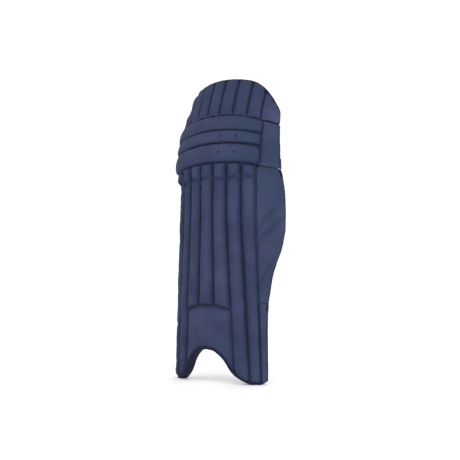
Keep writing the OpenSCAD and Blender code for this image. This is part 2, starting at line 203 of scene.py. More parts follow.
ARCH = [(0, ARCH_H), (19, ARCH_H - 3), (33, ARCH_H - 14), (43, ARCH_H - 26), (53, 29), (62, 18),
        (76, 8), (90, 1), (97, 0), (112, 0), (119, 2), (FOOT_U, 8)]
arch = soft_table(ARCH, 8)
OUTER = [(0, FOOT_U), (47, 128.5), (120, 131), (156, 133), (182, 137), (236, 148), (265, 158),
         (296, 172), (340, 184), (380, 187), (430, 185), (455, 181), (S1, 174)]
outer_edge = soft_table(OUTER, 14)
HAT = [(0, S5), (75, S5), (92, S5 - 3), (109, S5 - 11), (127, S5 - 25), (144, S5 - 44),
       (158, S5 - 64), (166, S5 - 86)]
hat_line = soft_table(HAT, 12)
INSTEP = [(0, INSTEP_S), (20, INSTEP_S - 2), (40, INSTEP_S - 8), (49, INSTEP_S - 13)]
instep_line = soft_table(INSTEP, 10)


def sole(u):
    return arch(np.abs(u))


def raised(line, u, g):
    """A line over u moved by g, measured square to it."""
    slope = (line(np.abs(u + 1)) - line(np.abs(u - 1))) / 2
    return line(np.abs(u)) + g * np.sqrt(1 + slope ** 2)


def sole_up(u, g):
    return raised(arch, u, g)


def hat_down(u, g):
    return raised(hat_line, u, -g)


def fan(u, s):
    """Place across of a seam at height s: the seams fan out towards the sole."""
    spread = FAN_W * np.clip(1 - s / FAN_S, 0, 1)
    return u + np.sign(u) * spread * np.sin(np.pi * np.minimum(np.abs(u) / HALF_W, 1))


# ---- Small shapes ----


def swell(t, power=0.7):
    return np.sin(np.pi * np.clip(t, 0, 1)) ** power


def rounded(x, width):
    """From 0 at an edge to 1 at width inside it, along a quarter circle."""
    t = np.clip(x / width, 0, 1)
    return np.sqrt(1 - (1 - t) ** 2)


def step_up(x, width):
    """From 0 at x = 0 to 1 at x = width, without corners."""
    t = np.clip(x / width, 0, 1)
    return t * t * (3 - 2 * t)


def noise(x, y, seed):
    """Smooth noise from -1 to 1 with a lattice of 1."""
    lattice = np.random.default_rng(seed).uniform(-1, 1, (64, 64))
    x, y = np.broadcast_arrays(np.asarray(x, float), np.asarray(y, float))
    i, j = np.floor(x).astype(int), np.floor(y).astype(int)
    a, b = x - i, y - j
    a, b = a * a * (3 - 2 * a), b * b * (3 - 2 * b)
    at = lambda p, q: lattice[p % 64, q % 64]
    return mix(mix(at(i, j), at(i + 1, j), a), mix(at(i, j + 1), at(i + 1, j + 1), a), b)


def puckers(along, off, seed, size=0.7, wave=7.0, reach=5.0):
    """Gathers that a seam pulls into cloth: off is the distance from the seam."""
    return size * noise(along / wave, off / 14 + 3, seed) * np.exp(-np.abs(off) / reach)


def u_steps(n):
    """n places from 0 to 1 across a grid."""
    return np.linspace(0, 1, n)[:, None]


def s_steps(n):
    """n places from 0 to 1 up a grid."""
    return np.linspace(0, 1, n)[None, :]


def run_along(points):
    """Length from the start of a path to each of its points."""
    return np.concatenate([[0], np.cumsum(np.linalg.norm(np.diff(points, axis=0), axis=1))])


def heading(path):
    """Unit direction of a path at each of its points."""
    step = np.gradient(path, axis=0)
    return step / np.linalg.norm(step, axis=1, keepdims=True)


# ---- Meshes ----


def to_object(name, points, faces, uv, seam):
    mesh = bpy.data.meshes.new(name)
    mesh.from_pydata((np.asarray(points) * MM).tolist(), [], faces)
    layer = mesh.uv_layers.new(name="cloth")
    corner = np.zeros(len(mesh.loops), int)
    mesh.loops.foreach_get("vertex_index", corner)
    layer.data.foreach_set("uv", (np.asarray(uv)[corner] * MM).astype(np.float32).ravel())
    # Weight of the dark seam line plus painted shade in the grooves, creases and valleys beside it, read
    # by the cloth materials.
    mesh.attributes.new("seam", "FLOAT", "POINT").data.foreach_set(
        "value", np.asarray(seam, np.float32))
    work = bmesh.new()
    work.from_mesh(mesh)
    bmesh.ops.recalc_face_normals(work, faces=work.faces)
    work.to_mesh(mesh)
    work.free()
    mesh.polygons.foreach_set("use_smooth", [True] * len(mesh.polygons))
    obj = bpy.data.objects.new(name, mesh)
    bpy.context.scene.collection.objects.link(obj)
    return obj


def quads(na, nb):
    k = (np.arange(na - 1)[:, None] * nb + np.arange(nb - 1)).ravel()
    return np.stack([k, k + 1, k + nb + 1, k + nb], -1)


def slab(name, u, s, front, back, seam=None):
    """Closed pad over a grid of u and s, with a front and a back face at those depths."""
    u, s, front, back = np.broadcast_arrays(u, s, front, back)
    na, nb = u.shape
    n = na * nb
    points = np.concatenate([surf(u, s, front).reshape(-1, 3), surf(u, s, back).reshape(-1, 3)])
    skin = quads(na, nb)
    grid = np.arange(n).reshape(na, nb)
    rim = np.concatenate([grid[0, :-1], grid[:-1, -1], grid[-1, :0:-1], grid[:0:-1, 0]])
    nxt = np.roll(rim, -1)
    walls = np.stack([rim, n + rim, n + nxt, nxt], -1)
    faces = np.concatenate([skin, skin[:, ::-1] + n, walls]).tolist()
    uv = np.stack([u, s], -1).reshape(-1, 2)
    # The back face takes the full weight and the rim walls blend up to it: painted shade on the backs
    # and edges of every slab.
    seam = np.zeros((na, nb)) if seam is None else np.broadcast_to(seam, (na, nb))
    obj = to_object(name, points, faces, np.concatenate([uv, uv]),
                    np.concatenate([seam.ravel(), np.ones(n)]))
    obj["rim_count"] = n
    return obj


def sweep(name, rings, closed=False, seam=0.0):
    """Closed tube through rings of points, (stations, around, 3), with flat ends."""
    rings = np.asarray(rings)
    n, m = rings.shape[:2]
    faces = []
    for i in range(n if closed else n - 1):
        p, q = i * m, (i + 1) % n * m
        faces += [(p + j, p + (j + 1) % m, q + (j + 1) % m, q + j) for j in range(m)]
    if not closed:
        faces += [tuple(range(m)), tuple(range((n - 1) * m, n * m))]
    mid = rings.mean(1)
    run = run_along(mid)
    girth = np.linspace(0, 1, m, endpoint=False) * np.linalg.norm(
        np.diff(rings[0], axis=0), axis=1).sum()
    uv = np.stack(np.broadcast_arrays(girth[None, :], run[:, None]), -1).reshape(-1, 2)
    return to_object(name, rings.reshape(-1, 3), faces, uv, np.full(n * m, seam))


def joined(name, objs):
    """Several meshes as one piece."""
    for o in bpy.context.selected_objects:
        o.select_set(False)
    for o in objs:
        o.select_set(True)
    bpy.context.view_layer.objects.active = objs[0]
    bpy.ops.object.join()
    objs[0].name = name
    return objs[0]


def thread(name, paths, lift=0.25, pitch=4.2, length=2.9, radius=0.42):
    """Rows of stitches along paths of (u, s, d) points, as one mesh."""
    points, faces = [], []
    for path in paths:
        uvd = np.asarray(path, float)
        line = surf(uvd[:, 0], uvd[:, 1], uvd[:, 2])
        out = surf(uvd[:, 0], uvd[:, 1], uvd[:, 2] + 1) - line
        run = run_along(line)
        for at in np.arange(pitch / 2, run[-1] - pitch / 2, pitch):
            ends = at + np.array([-0.5, -0.3, 0.3, 0.5]) * length
            c = np.stack([np.interp(ends, run, line[:, k]) for k in range(3)], -1)
            n = np.array([np.interp(at, run, out[:, k]) for k in range(3)])
            along = c[-1] - c[0]
            side = np.cross(along, n)
            side /= np.linalg.norm(side)
            base = len(points)
            for k, (sink, r) in enumerate([(-0.5, 0.3), (lift, 1), (lift, 1), (-0.5, 0.3)]):
                for a in np.arange(5) * 2 * np.pi / 5:
                    points.append(c[k] + n * sink + radius * r * (side * np.cos(a)
                                                                  + n * np.sin(a)))
            for k in range(3):
                for j in range(5):
                    p, q = base + k * 5 + j, base + k * 5 + (j + 1) % 5
                    faces.append((p, q, q + 5, p + 5))
            faces.append(tuple(range(base, base + 5)))
            faces.append(tuple(range(base + 15, base + 20)))
    return to_object(name, points, faces, np.zeros((len(points), 2)), np.zeros(len(points)))


# ---- Cloth simulation ----

PRESSURE = 4.0
SIM_FRAMES = 20
CLOTH = {"quality": 4, "mass": 0.3, "use_pressure": True, "uniform_pressure_force": PRESSURE,
         "vertex_group_mass": "sewn", "shrink_min": -0.015}
pillows = []


def inflate_later(obj, pinned, cap):
    """Marks a slab for the cloth simulation: pinned is 1 where the front is sewn down."""
    n = obj["rim_count"]
    weights = np.concatenate([np.asarray(pinned, float).ravel(), np.ones(n)])
    pillows.append((obj, weights, cap))
    return obj


def inflate_all():
    """Blows every marked pad up a little against its seams, with Blender's cloth."""
    rest = {}
    for obj, weights, cap in pillows:
        group = obj.vertex_groups.new(name="sewn")
        for w in np.unique(np.round(weights, 2)):
            group.add(np.nonzero(np.round(weights, 2) == w)[0].tolist(), float(w), "REPLACE")
        mod = obj.modifiers.new("cloth", "CLOTH")
        mod.point_cache.frame_start = 1
        mod.point_cache.frame_end = SIM_FRAMES
        settings = mod.settings
        for key, value in CLOTH.items():
            setattr(settings, key, value)
        settings.effector_weights.gravity = 0
        mod.collision_settings.use_collision = False
        rest[obj.name] = coordinates(obj.data)
    for f in range(1, SIM_FRAMES + 1):
        bpy.context.scene.frame_set(f)
    graph = bpy.context.evaluated_depsgraph_get()
    blown = {obj.name: coordinates(obj.evaluated_get(graph).data) for obj, w, c in pillows}
    for obj, weights, cap in pillows:
        obj.modifiers.clear()
        obj.vertex_groups.clear()
        start = rest[obj.name]
        move = blown[obj.name] - start
        far = np.linalg.norm(move, axis=1, keepdims=True)
        move *= np.minimum(1, cap * MM / np.maximum(far, 1e-9))
        move[weights >= 1] = 0
        obj.data.vertices.foreach_set("co", (start + move).astype(np.float32).ravel())
        obj.data.update()
    bpy.context.scene.frame_set(1)


def coordinates(mesh):
    co = np.zeros(len(mesh.vertices) * 3, np.float32)
    mesh.vertices.foreach_get("co", co)
    return co.reshape(-1, 3)


# ---- Materials ----


def linear(*rgb):
    """A colour given in 0 to 255 screen values."""
    c = np.array(rgb) / 255
    c = np.where(c <= 0.04045, c / 12.92, ((c + 0.055) / 1.055) ** 2.4)
    return (*c.tolist(), 1)


class Nodes:
    """Short words for building a node tree."""

    def __init__(self, name):
        self.material = bpy.data.materials.new(name)
        self.material.use_nodes = True
        self.tree = self.material.node_tree
        self.shader = self.tree.nodes["Principled BSDF"]

    def add(self, kind, inputs=None, **settings):
        made = self.tree.nodes.new("ShaderNode" + kind)
        for k, v in settings.items():
            setattr(made, k, v)
        for k, v in (inputs or {}).items():
            if isinstance(v, bpy.types.NodeSocket):
                self.tree.links.new(v, made.inputs[k])
            else:
                made.inputs[k].default_value = v
        return made

    def math(self, operation, a, b=0.0):
        return self.add("Math", {0: a, 1: b}, operation=operation).outputs[0]

    def mix(self, factor, a, b):
        return self.add("Mix", {0: factor, 6: a, 7: b}, data_type="RGBA").outputs[2]

    def weighted(self, *parts):
        """The sum of sockets, each times its weight."""
        total, *others = [self.math("MULTIPLY", socket, weight) for socket, weight in parts]
        for part in others:
            total = self.math("ADD", total, part)
        return total

    def ramp(self, factor, low, dark, high, light):
        """A colour that is dark up to low and light from high."""
        made = self.add("ValToRGB", {"Fac": factor})
        for i, (at, color) in enumerate(((low, dark), (high, light))):
            made.color_ramp.elements[i].position = at
            made.color_ramp.elements[i].color = color
        return made.outputs[0]

    def sheen(self, weight, specular):
        self.shader.inputs["Sheen Weight"].default_value = weight
        self.shader.inputs["Specular IOR Level"].default_value = specular

    def noise(self, where, scale, detail=3.0, roughness=0.55):
        return self.add("TexNoise", {"Vector": where, "Scale": scale, "Detail": detail,
                                     "Roughness": roughness}).outputs[0]

    def wave(self, where, period, direction, distort=0.0):
        """Bands of that period in metres."""
        return self.add("TexWave", {"Vector": where, "Scale": math.pi / 10 / period,
                                    "Distortion": distort},
                        bands_direction=direction).outputs["Fac"]

    def finish(self, color, roughness, height, strength, distance):
        links = self.tree.links
        links.new(color, self.shader.inputs["Base Color"])
        links.new(roughness, self.shader.inputs["Roughness"])
        bump = self.add("Bump", {"Strength": strength, "Distance": distance, "Height": height})
        links.new(bump.outputs[0], self.shader.inputs["Normal"])
        return self.material


def cloth_material(name, dark, light, fade, seam_color, period, rough=0.8, sheen=0.03, weave=0.5,
                   crumple=0.6):
    """Woven cloth: warp and weft, a grain, patches of wear, soft creases and darker seams, their
    darkening spread beside them as painted shade.
    """
    n = Nodes(name)
    where = n.add("TexCoord").outputs["Object"]
    flat = n.add("UVMap", uv_map="cloth").outputs[0]
    seam = n.add("Attribute", attribute_name="seam").outputs["Fac"]
    warp = n.wave(flat, period, "X")
    weft = n.wave(flat, period, "Y")
    over = n.wave(flat, period * 2, "DIAGONAL")
    threads = n.math("ADD", n.math("MULTIPLY", warp, over),
                     n.math("MULTIPLY", weft, n.math("SUBTRACT", 1.0, over)))
    patches = n.noise(where, 14.0, 4.0)
    grain = n.noise(where, 900.0, 2.0)
    creases = n.noise(n.add("Mapping", {"Vector": where, "Scale": (1, 1, 0.55)}).outputs[0],
                      70.0, 3.0, 0.6)
    tone = n.weighted((patches, 0.75), (threads, 0.16), (grain, 0.22))
    cloth = n.ramp(tone, 0.32, dark, 0.78, light)
    faded = n.noise(where, 5.0, 2.0)
    faded = n.math("MINIMUM", n.math("MAXIMUM", n.math("SUBTRACT", n.math("MULTIPLY", faded, 4.0),
                                                       1.9), 0.0), 0.55)
    color = n.mix(faded, cloth, fade)
    # Darkens towards the dark seam colour: the seam itself plus painted shade spread into the grooves.
    color = n.mix(n.math("MULTIPLY", seam, 0.62), color, seam_color)
    roughness = n.math("ADD", rough - 0.08, n.math("MULTIPLY", patches, 0.16))
    height = n.weighted((threads, weave * 0.2), (creases, crumple), (grain, 0.08))
    n.sheen(sheen, 0.08)
    n.shader.inputs["Sheen Roughness"].default_value = 0.45
    return n.finish(color, roughness, height, 0.5, 0.0016)


def tape_material(name, dark, light, period, rough=0.7):
    """Ribbed tape and webbing: ribs across, fine threads along."""
    n = Nodes(name)
    where = n.add("TexCoord").outputs["Object"]
    flat = n.add("UVMap", uv_map="cloth").outputs[0]
    ribs = n.wave(flat, period, "Y", 0.4)
    lines = n.wave(flat, period * 0.6, "X", 0.6)
    patches = n.noise(where, 22.0, 4.0)
    color = n.ramp(n.weighted((ribs, 0.35), (patches, 0.6)), 0.25, dark, 0.8, light)
    roughness = n.math("ADD", rough - 0.08, n.math("MULTIPLY", patches, 0.16))
    height = n.math("ADD", ribs, n.math("MULTIPLY", lines, 0.4))
    n.sheen(0.03, 0.1)
    return n.finish(color, roughness, height, 0.45, 0.0005)


def pile_material(name, dark, light, scale, depth):
    """The hooks or loops of a touch fastener: a dense stubble."""
    n = Nodes(name)
    where = n.add("TexCoord").outputs["Object"]
    dots = n.add("TexVoronoi", {"Vector": where, "Scale": scale}).outputs["Distance"]
    fuzz = n.noise(where, scale * 1.7, 3.0)
    color = n.ramp(n.weighted((dots, 1.0), (fuzz, 0.4)), 0.0, dark, 0.8, light)
    n.shader.inputs["Sheen Weight"].default_value = 0.15
    roughness = n.math("ADD", 0.7, n.math("MULTIPLY", fuzz, 0.2))
    return n.finish(color, roughness, n.math("SUBTRACT", 1.0, dots), 0.9, depth)


def cane_material():
    """Split cane: long fibres with darker nodes."""
    n = Nodes("cane")
    where = n.add("TexCoord").outputs["Object"]
    stretched = n.add("Mapping", {"Vector": where, "Scale": (1, 1, 0.04)}).outputs[0]
    fibres = n.noise(stretched, 900.0, 3.0)
    bands = n.noise(n.add("Mapping", {"Vector": where, "Scale": (0.1, 0.1, 1)}).outputs[0], 30.0)
    color = n.ramp(n.math("MULTIPLY", n.math("ADD", fibres, bands), 0.5), 0.3,
                   linear(150, 112, 60), 0.7, linear(222, 190, 130))
    return n.finish(color, n.math("ADD", 0.4, n.math("MULTIPLY", fibres, 0.3)), fibres, 0.4,
                    0.0004)


# Dark navy for the seams and for the painted shade spread beside them.
NAVY_SEAM_SHADE = linear(10, 12, 34)
TEAL = linear(34, 50, 70)
COVER = cloth_material("cover_cloth", linear(36, 39, 64), linear(58, 64, 93), TEAL, NAVY_SEAM_SHADE,
                       0.0011)
SIDE_CLOTH = cloth_material("side_cloth", linear(38, 41, 65), linear(60, 66, 95), TEAL, NAVY_SEAM_SHADE,
                            0.0014, rough=0.76, crumple=0.8)
LINING = cloth_material("lining_cloth", linear(60, 65, 84), linear(104, 110, 132),
                        linear(66, 78, 92), linear(26, 28, 40), 0.0019, rough=0.85, sheen=0.15,
                        weave=1.0)
BINDING = tape_material("binding_tape", linear(13, 15, 34), linear(25, 29, 54), 0.0013)
WEBBING = tape_material("strap_webbing", linear(16, 18, 34), linear(38, 41, 62), 0.0021)
HOOK = pile_material("hook_fabric", linear(10, 10, 12), linear(52, 53, 58), 1100.0, 0.0007)
LOOP = pile_material("loop_fabric", linear(16, 17, 26), linear(58, 60, 76), 700.0, 0.0009)
THREAD = tape_material("thread", linear(30, 34, 62), linear(66, 72, 104), 0.0006, 0.55)
# Pale thread whose light colour paints the highlight along the top hat's hem.
HEM_HIGHLIGHT_THREAD = tape_material("hem_highlight_thread", linear(70, 78, 112), linear(122, 130, 160), 0.0006,
                            0.55)
EYELET = tape_material("eyelet_thread", linear(18, 20, 38), linear(44, 48, 74), 0.0005, 0.5)
CANE = cane_material()


# ---- Handing pieces to the frame ----


def place(obj, body, material, slot=None, nodes=(), fill=None, smooth=0):
    """Gives a piece its material and smoothing, attaches it to its body when one is named, fixes it in
    place otherwise, and hides the CAD nodes it stands for.
    """
    obj.data.materials.clear()
    obj.data.materials.append(material)
    if smooth:
        sub = obj.modifiers.new("smooth", "SUBSURF")
        sub.levels = smooth
        sub.render_levels = smooth
    if isinstance(body, str):
        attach(obj, body)
    else:
        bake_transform(obj)
    if nodes:
        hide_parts(*nodes)
    return obj


def metres(point):
    return [float(x) * MM for x in point]


def knee_zone(s, below, above):
    """Start and end of a blend over the knee groove at s."""
    return metres(surf(0, s - below, 0)), metres(surf(0, s + above, 0))


# ---- Shin ----

to_place = []


def later(obj, *args, **kwargs):
    """The piece is placed once the simulation has shaped it."""
    to_place.append((obj, args, kwargs))
    return obj


def seam_of(x, width):
    """1 at a seam, fading to 0 at width from it."""
    return np.clip(1 - np.abs(x) / width, 0, 1) ** 1.5


SLACK = 0.86
ALONG = 3.6


def rows_between(lo, hi, pitch=ALONG):
    return s_steps(max(4, int(np.max(hi - lo) / pitch)))


def shin_channel(k):
    mid = (k - (CHANNEL_N + 1) / 2) * PITCH
    over_instep = abs(mid) < PITCH * 1.2
    t = u_steps(13)
    u = mid + (t - 0.5) * (PITCH - GAP)
    foot = sole_up(fan(u, sole(u)), EDGE_W + 2 * GAP)
    lo = instep_line(np.abs(u)) + 2 * GAP if over_instep else foot
    hi = S1 - room(u, S1, 0) - GAP
    b = rows_between(lo, hi)
    s = mix(lo, hi, b)
    u = fan(u, s)
    up = s - lo
    low = 1 if k == 1 else 0.55
    full = 1 if over_instep else mix(low, 1, np.clip(up / 190, 0, 1))
    crease = CREASE_S + 2.5 * math.sin(k * 2.1)
    dip = 1 - 0.62 * np.exp(-((s - crease - 2 * np.sin(u / 9)) / 4.5) ** 2)
    ends = (0.16 + 0.84 * rounded(up, 13)) * (0.6 + 0.4 * rounded(hi - s, 9))
    bulge = 1 + 0.16 * np.exp(-((up - 14) / 12) ** 2) * over_instep
    cap = 1 + (0.22 + 0.25 * (k < 3)) * step_up(s - crease, 8)
    shape = swell(t, 0.78) * ends * dip
    front = SEAM_D + (2 + CHANNEL_PUFF * full * bulge * cap * SLACK) * shape
    front = front + 0.7 * noise(s / 46, u / 40, k) * swell(t)
    front = front + puckers(s, t * PITCH, 10 + k, 0.5) + puckers(s, (1 - t) * PITCH, 30 + k, 0.5)
    front = front + puckers(u * 1.5, s - crease, 50 + k, 0.8, 6, 9) * swell(t)
    front = np.maximum(front, 1.0)
    # Painted shade: dark seams widening to 7 mm on one side of each channel and 10 mm on the other, plus
    # shade along the crease and at the foot over the instep.
    seam = np.maximum(seam_of(t * PITCH, 7), seam_of((1 - t) * PITCH, 10))
    seam = np.maximum(seam, np.maximum(seam_of(up, 5) * over_instep, 0.7 * seam_of(s - crease, 6)))
    obj = slab(f"shin_channel_{k}_skin", u, s, front, GAP, seam)
    inflate_later(obj, np.maximum(1 - swell(t) * 2.2, 0) + (b < 0.01) + (b > 0.99) > 0.3, 2.6)
    later(obj, "shin", COVER, "cover", [f"shin_channel_{k}"], 0.8, 1)


def shin_front():
    for k in range(1, CHANNEL_N + 1):
        shin_channel(k)


def shin_board():
    """The foam board in its cloth, behind the channels."""
    u = np.linspace(-HALF_W, HALF_W, 60)[:, None]
    hi = S1 - room(u, S1, -BOARD_T)
    lo = sole_up(u, EDGE_W + GAP)
    s = mix(lo, hi, rows_between(lo, hi, 6))
    return slab("shin_board_cloth", u, s, GAP / 2, -BOARD_T)


def shin_lining():
    u = np.linspace(-HALF_W, HALF_W, 96)[:, None]
    hi = S1 - room(u, S1, LINING_D)
    lo = sole_up(u, EDGE_W + GAP)
    s = mix(lo, hi, rows_between(lo, hi, 4))
    soft = lining_quilt(u, s)
    back = LINING_D + 1.7 - 2.4 * soft + 0.5 * noise(u / 30, s / 30, 5)
    return slab("shin_lining_cloth", u, s, -BOARD_T - 0.1, back, 1 - soft)


def strip_linings():
    """Lining behind the side strips."""
    a = u_steps(10)
    for name, edge, hi in (("inner_strip_lining", -EDGE_U + GAP, S1 - float(room(EDGE_U, S1, LINING_D))),
                           ("outer_strip_lining", FOOT_U, WING_S - GAP)):
        side = np.sign(edge)
        u = mix(side * HALF_W, edge, a)
        lo = sole_up(u, EDGE_W + GAP)
        s = mix(lo, hi + 0 * u, rows_between(lo, hi, 5))
        if side > 0:
            u = mix(HALF_W, outer_edge(s), a)
        u = u + 0 * s
        soft = lining_quilt(u, s)
        back = LINING_D + 1.7 - 2.4 * soft
        place(slab(name, u, s, -BOARD_T - 0.1, back, 1 - soft), "shin", LINING,
              "lining", (), 0.3)


def lining_quilt(u, s, across=38.0, along=46.0):
    """Swell of a lining between its quilting rows; one minus it darkens the lining as painted shade in
    the valleys.
    """
    return np.minimum(np.abs(np.sin(np.pi * u / across)) ** 0.35,
                      np.abs(np.sin(np.pi * (s + 12) / along)) ** 0.35)


def instep_panel():
    w = PITCH * 1.5 - GAP
    a = u_steps(40)
    u = (a - 0.5) * 2 * w
    lo, hi = sole_up(fan(u, sole(u)), EDGE_W + GAP), instep_line(np.abs(u)) - GAP
    b = s_steps(42)
    s = mix(lo, hi, b)
    u = fan(u, s)
    inner = np.minimum(np.minimum(a, 1 - a) * 2 * w, np.minimum(hi - s, (s - lo) * 1.4))
    rise = rounded(inner, 12)
    stitched = np.exp(-((inner - 4.5) / 1.4) ** 2)
    front = 1.2 + 3.6 * rise * SLACK - 0.9 * stitched + 0.7 * noise(u / 26, s / 26, 8) * rise
    front = front + puckers(s + u, inner - 4.5, 9, 0.5, 6, 5)
    # The panel darkens along its stitch row and its edge: seam plus painted shade.
    obj = slab("instep_panel_cloth", u, s, np.maximum(front, 0.9), GAP,
               seam_of(inner - 4.5, 3) * 0.6 + seam_of(inner, 4) * 0.6)
    inflate_later(obj, inner < 5.5, 1.6)
    later(obj, "shin", COVER, "cover", ["instep_panel"], 0.5, 1)
    top = [(float(fan(x, INSTEP_S)), float(instep_line(abs(x))) - 5.4, 2.6)
           for x in np.linspace(-w + 5, w - 5, 40)]
    up = np.linspace(sole(w) + 8, INSTEP_S - 20, 40)
    right = [(float(fan(w, x)) - 4.6, x, 2.6) for x in up]
    left = [(-x, y, z) for x, y, z in right]
    place(thread("instep_panel_stitches", [top, left, right]), "shin", THREAD, "binding")


def strip(name, us, lo, hi, puff, back, cap=0):
    """A narrow padded strip: us(a, s) gives u across it, and cap swells it above the crease."""
    a = u_steps(8)
    s = mix(lo(us(a, 0)), hi(us(a, S1)), s_steps(130))
    u = us(a, s)
    over = step_up(s - CREASE_S + 4, 16) * (0.8 + 0.2 * rounded(S1 - s, 6))
    front = SEAM_D + (puff + cap * over) * swell(0.15 + 0.7 * a, 0.5)
    front = front + 0.5 * noise(s / 20, u / 10, 60)
    front = front + puckers(s, a * 9, 61, 0.6) + puckers(s, (1 - a) * 9, 62, 0.6)
    return slab(name, u, s, front, back, seam_of(np.minimum(a, 1 - a) * 9, 3))


def side_strips():
    inner = strip("inner_side_strip_cloth", lambda a, s: mix(-EDGE_U + GAP, -HALF_W, a) + 0 * s,
                  lambda u: sole_up(u, EDGE_W), lambda u: S1 - room(u, S1, LINING_D) + 0 * u,
                  3.2, -BOARD_T + 0.2, 10)
    later(inner, "shin", SIDE_CLOTH, "cover", ["inner_side_strip"], 0.4)
    s = np.linspace(WING_S - 8, WING_S + 0.35, 5)[None, :] + np.zeros((12, 1))
    outer = strip("outer_side_strip_cloth", lambda a, s: mix(HALF_W, outer_edge(s), a),
                  lambda u: sole_up(u, EDGE_W), lambda u: WING_S - GAP + 0 * u, 3.4,
                  -BOARD_T + 0.2)
    hem = slab("wing_hem_cloth", mix(HALF_W + 1, FOOT_U + 9, u_steps(12)) + 0 * s,
               s, -2.9, -5.0, 1.0)
    later(outer, "shin", SIDE_CLOTH, "cover", ["outer_side_strip"], 0.4)
    later(hem, "shin", BINDING, "binding")


def bolsters():
    made = []
    for side in (-1, 1):
        a = u_steps(14)
        s = np.linspace(BOLSTER_S, BEND_S - 10, 90)[None, :]
        u = side * mix(*BOLSTER_US, a)
        ends = rounded(s - BOLSTER_S, 16) * rounded(BEND_S - 10 - s, 16)
        channel = 1 - 0.5 * np.exp(-(((s - BOLSTER_S) % 82 - 41) / 3.5) ** 2)
        puff = (2 + 10 * swell(a) * channel) * (0.25 + 0.75 * ends) * SLACK
        back = LINING_D - GAP - puff - puckers(s, a * 34, 70, 0.7) - puckers(s, 34 - a * 34, 71, 0.7)
        seam = np.maximum(seam_of(a * 34, 5), seam_of(34 - a * 34, 5))
        obj = slab(f"shin_bolster_{SIDES[side]}", u, s, back, LINING_D + 0.6,
                   np.maximum(seam, 1 - channel))
        inflate_later(obj, swell(a) * (ends > 0.2) < 0.35, 2.5)
        made.append(obj)
    for obj in made:
        nodes = ["shin_bolsters"] if obj is made[0] else []
        later(obj, "shin", LINING, "lining", nodes, 0.85, 1)


# ---- Bindings ----


def fold_section(width, front, back, thick=0.9):
    """Tape folded over an edge: (distance inside the edge, depth) round the section."""
    mid = (front + back) / 2
    half = (front - back) / 2
    angles = np.linspace(90, -90, 9)
    turn_out = [(-1.4 * math.cos(math.radians(a)) + 0.6, mid + half * math.sin(math.radians(a)))
                for a in angles]
    outside = [(width, front - 0.3), (width * 0.5, front)] + turn_out
    outside += [(width * 0.5, back), (width, back + 0.3)]
    inside = [(g + (thick if 2 <= i < len(outside) - 2 else 0),
               d - thick * np.sign(d - mid)) for i, (g, d) in enumerate(outside)]
    return outside + inside[::-1]


def tape(name, path, section, ripple=0.0):
    """Sweeps a section along a path of (u, s) points; the pad lies to the path's left."""
    path = np.asarray(path, float)
    step = heading(path)
    inward = np.stack([-step[:, 1], step[:, 0]], -1)
    g = np.array([p[0] for p in section])[None, :]
    d = np.array([p[1] for p in section])[None, :]
    run = run_along(path)
    d = d + ripple * noise(run / 6, 0, 80)[:, None] * (d > 0)
    u = path[:, :1] + inward[:, :1] * g
    s = path[:, 1:] + inward[:, 1:] * g
    return sweep(name, surf(u, s, d + 0 * u))


def tape_stitches(name, path, inset, d, pitch=4.2):
    path = np.asarray(path, float)
    step = heading(path)
    return thread(name, [[(p[0] - t[1] * inset, p[1] + t[0] * inset, d)
                          for p, t in zip(path, step)]], pitch=pitch)


def bindings():
    sole_path = [(u, float(sole(u))) for u in np.linspace(-EDGE_U, FOOT_U - 1, 220)]
    section = fold_section(6.5, 4.6, LINING_D - 0.4)
    place(tape("lower_binding_tape", sole_path, section, 0.4), "shin", BINDING, "binding",
          ["lower_binding"])
    place(tape_stitches("lower_binding_stitches", sole_path, 5.0, 4.5), "shin", THREAD, "binding")
    inner_path = [(-EDGE_U - EDGE_W, s) for s in np.linspace(S1 - 16, 10, 160)]
    section = fold_section(6.5, 4.4, LINING_D - 0.4)
    place(tape("inner_binding_tape", inner_path, section, 0.4), "shin", BINDING, "binding",
          ["inner_binding"])
    outer_path = [(float(outer_edge(s)) + 0.6, s) for s in np.linspace(7, WING_S - 3, 80)]
    place(tape("outer_edge_tape", outer_path, section, 0.4), "shin", BINDING, "binding")
    rim = [(float(outer_edge(s)), s)
           for s in np.linspace(WING_S, S1 - float(room(WING_TOP_U, S1, LINING_D)), 130)]
    section = fold_section(6, 3.6, LINING_D - 0.2)
    place(tape("wing_binding_tape", rim, section, 0.4), "wing", BINDING, "binding",
          ["wing_binding"])
    place(tape_stitches("wing_binding_stitches", rim, 4.6, 3.5), "wing", THREAD, "binding")
    corner = [(float(outer_edge(s)), s) for s in np.linspace(rim[-1][1] - 3, S1 - 0.2, 12)]
    place(tape("wing_corner_tape", corner, fold_section(6, 2.3, 0.2, 0.5)), "wing", BINDING,
          "binding")
    low = S4 + 3 + float(room(HAT_EDGE_U, S4, 0))
    side = [(HAT_EDGE_U, s) for s in np.linspace(low, float(hat_line(HAT_EDGE_U)) - 8, 12)]
    dome = [(u, float(hat_line(abs(u)))) for u in np.linspace(158, -158, 200)]
    path = side + dome + [(-u, s) for u, s in side[::-1]]
    section = fold_section(6, 4.4, HAT_BACK - 0.3)
    place(tape("top_hat_binding_tape", path, section, 0.4), "top_hat", BINDING, "binding",
          ["top_hat_binding"])
    place(tape_stitches("top_hat_binding_stitches", dome, 4.6, 4.3), "top_hat", THREAD, "binding")
    corner = [(HAT_EDGE_U, s) for s in np.linspace(S4 + 1, low + 2, 10)]
    place(tape("top_hat_corner_tape", corner, fold_section(6, 4.9, 3.3, 0.4)), "top_hat", BINDING,
          "binding")


# ---- Wing ----

QUILT = [((118, 346), (160, 390)), ((116, 311), (176, 368)), ((117, 222), (146, 262))]


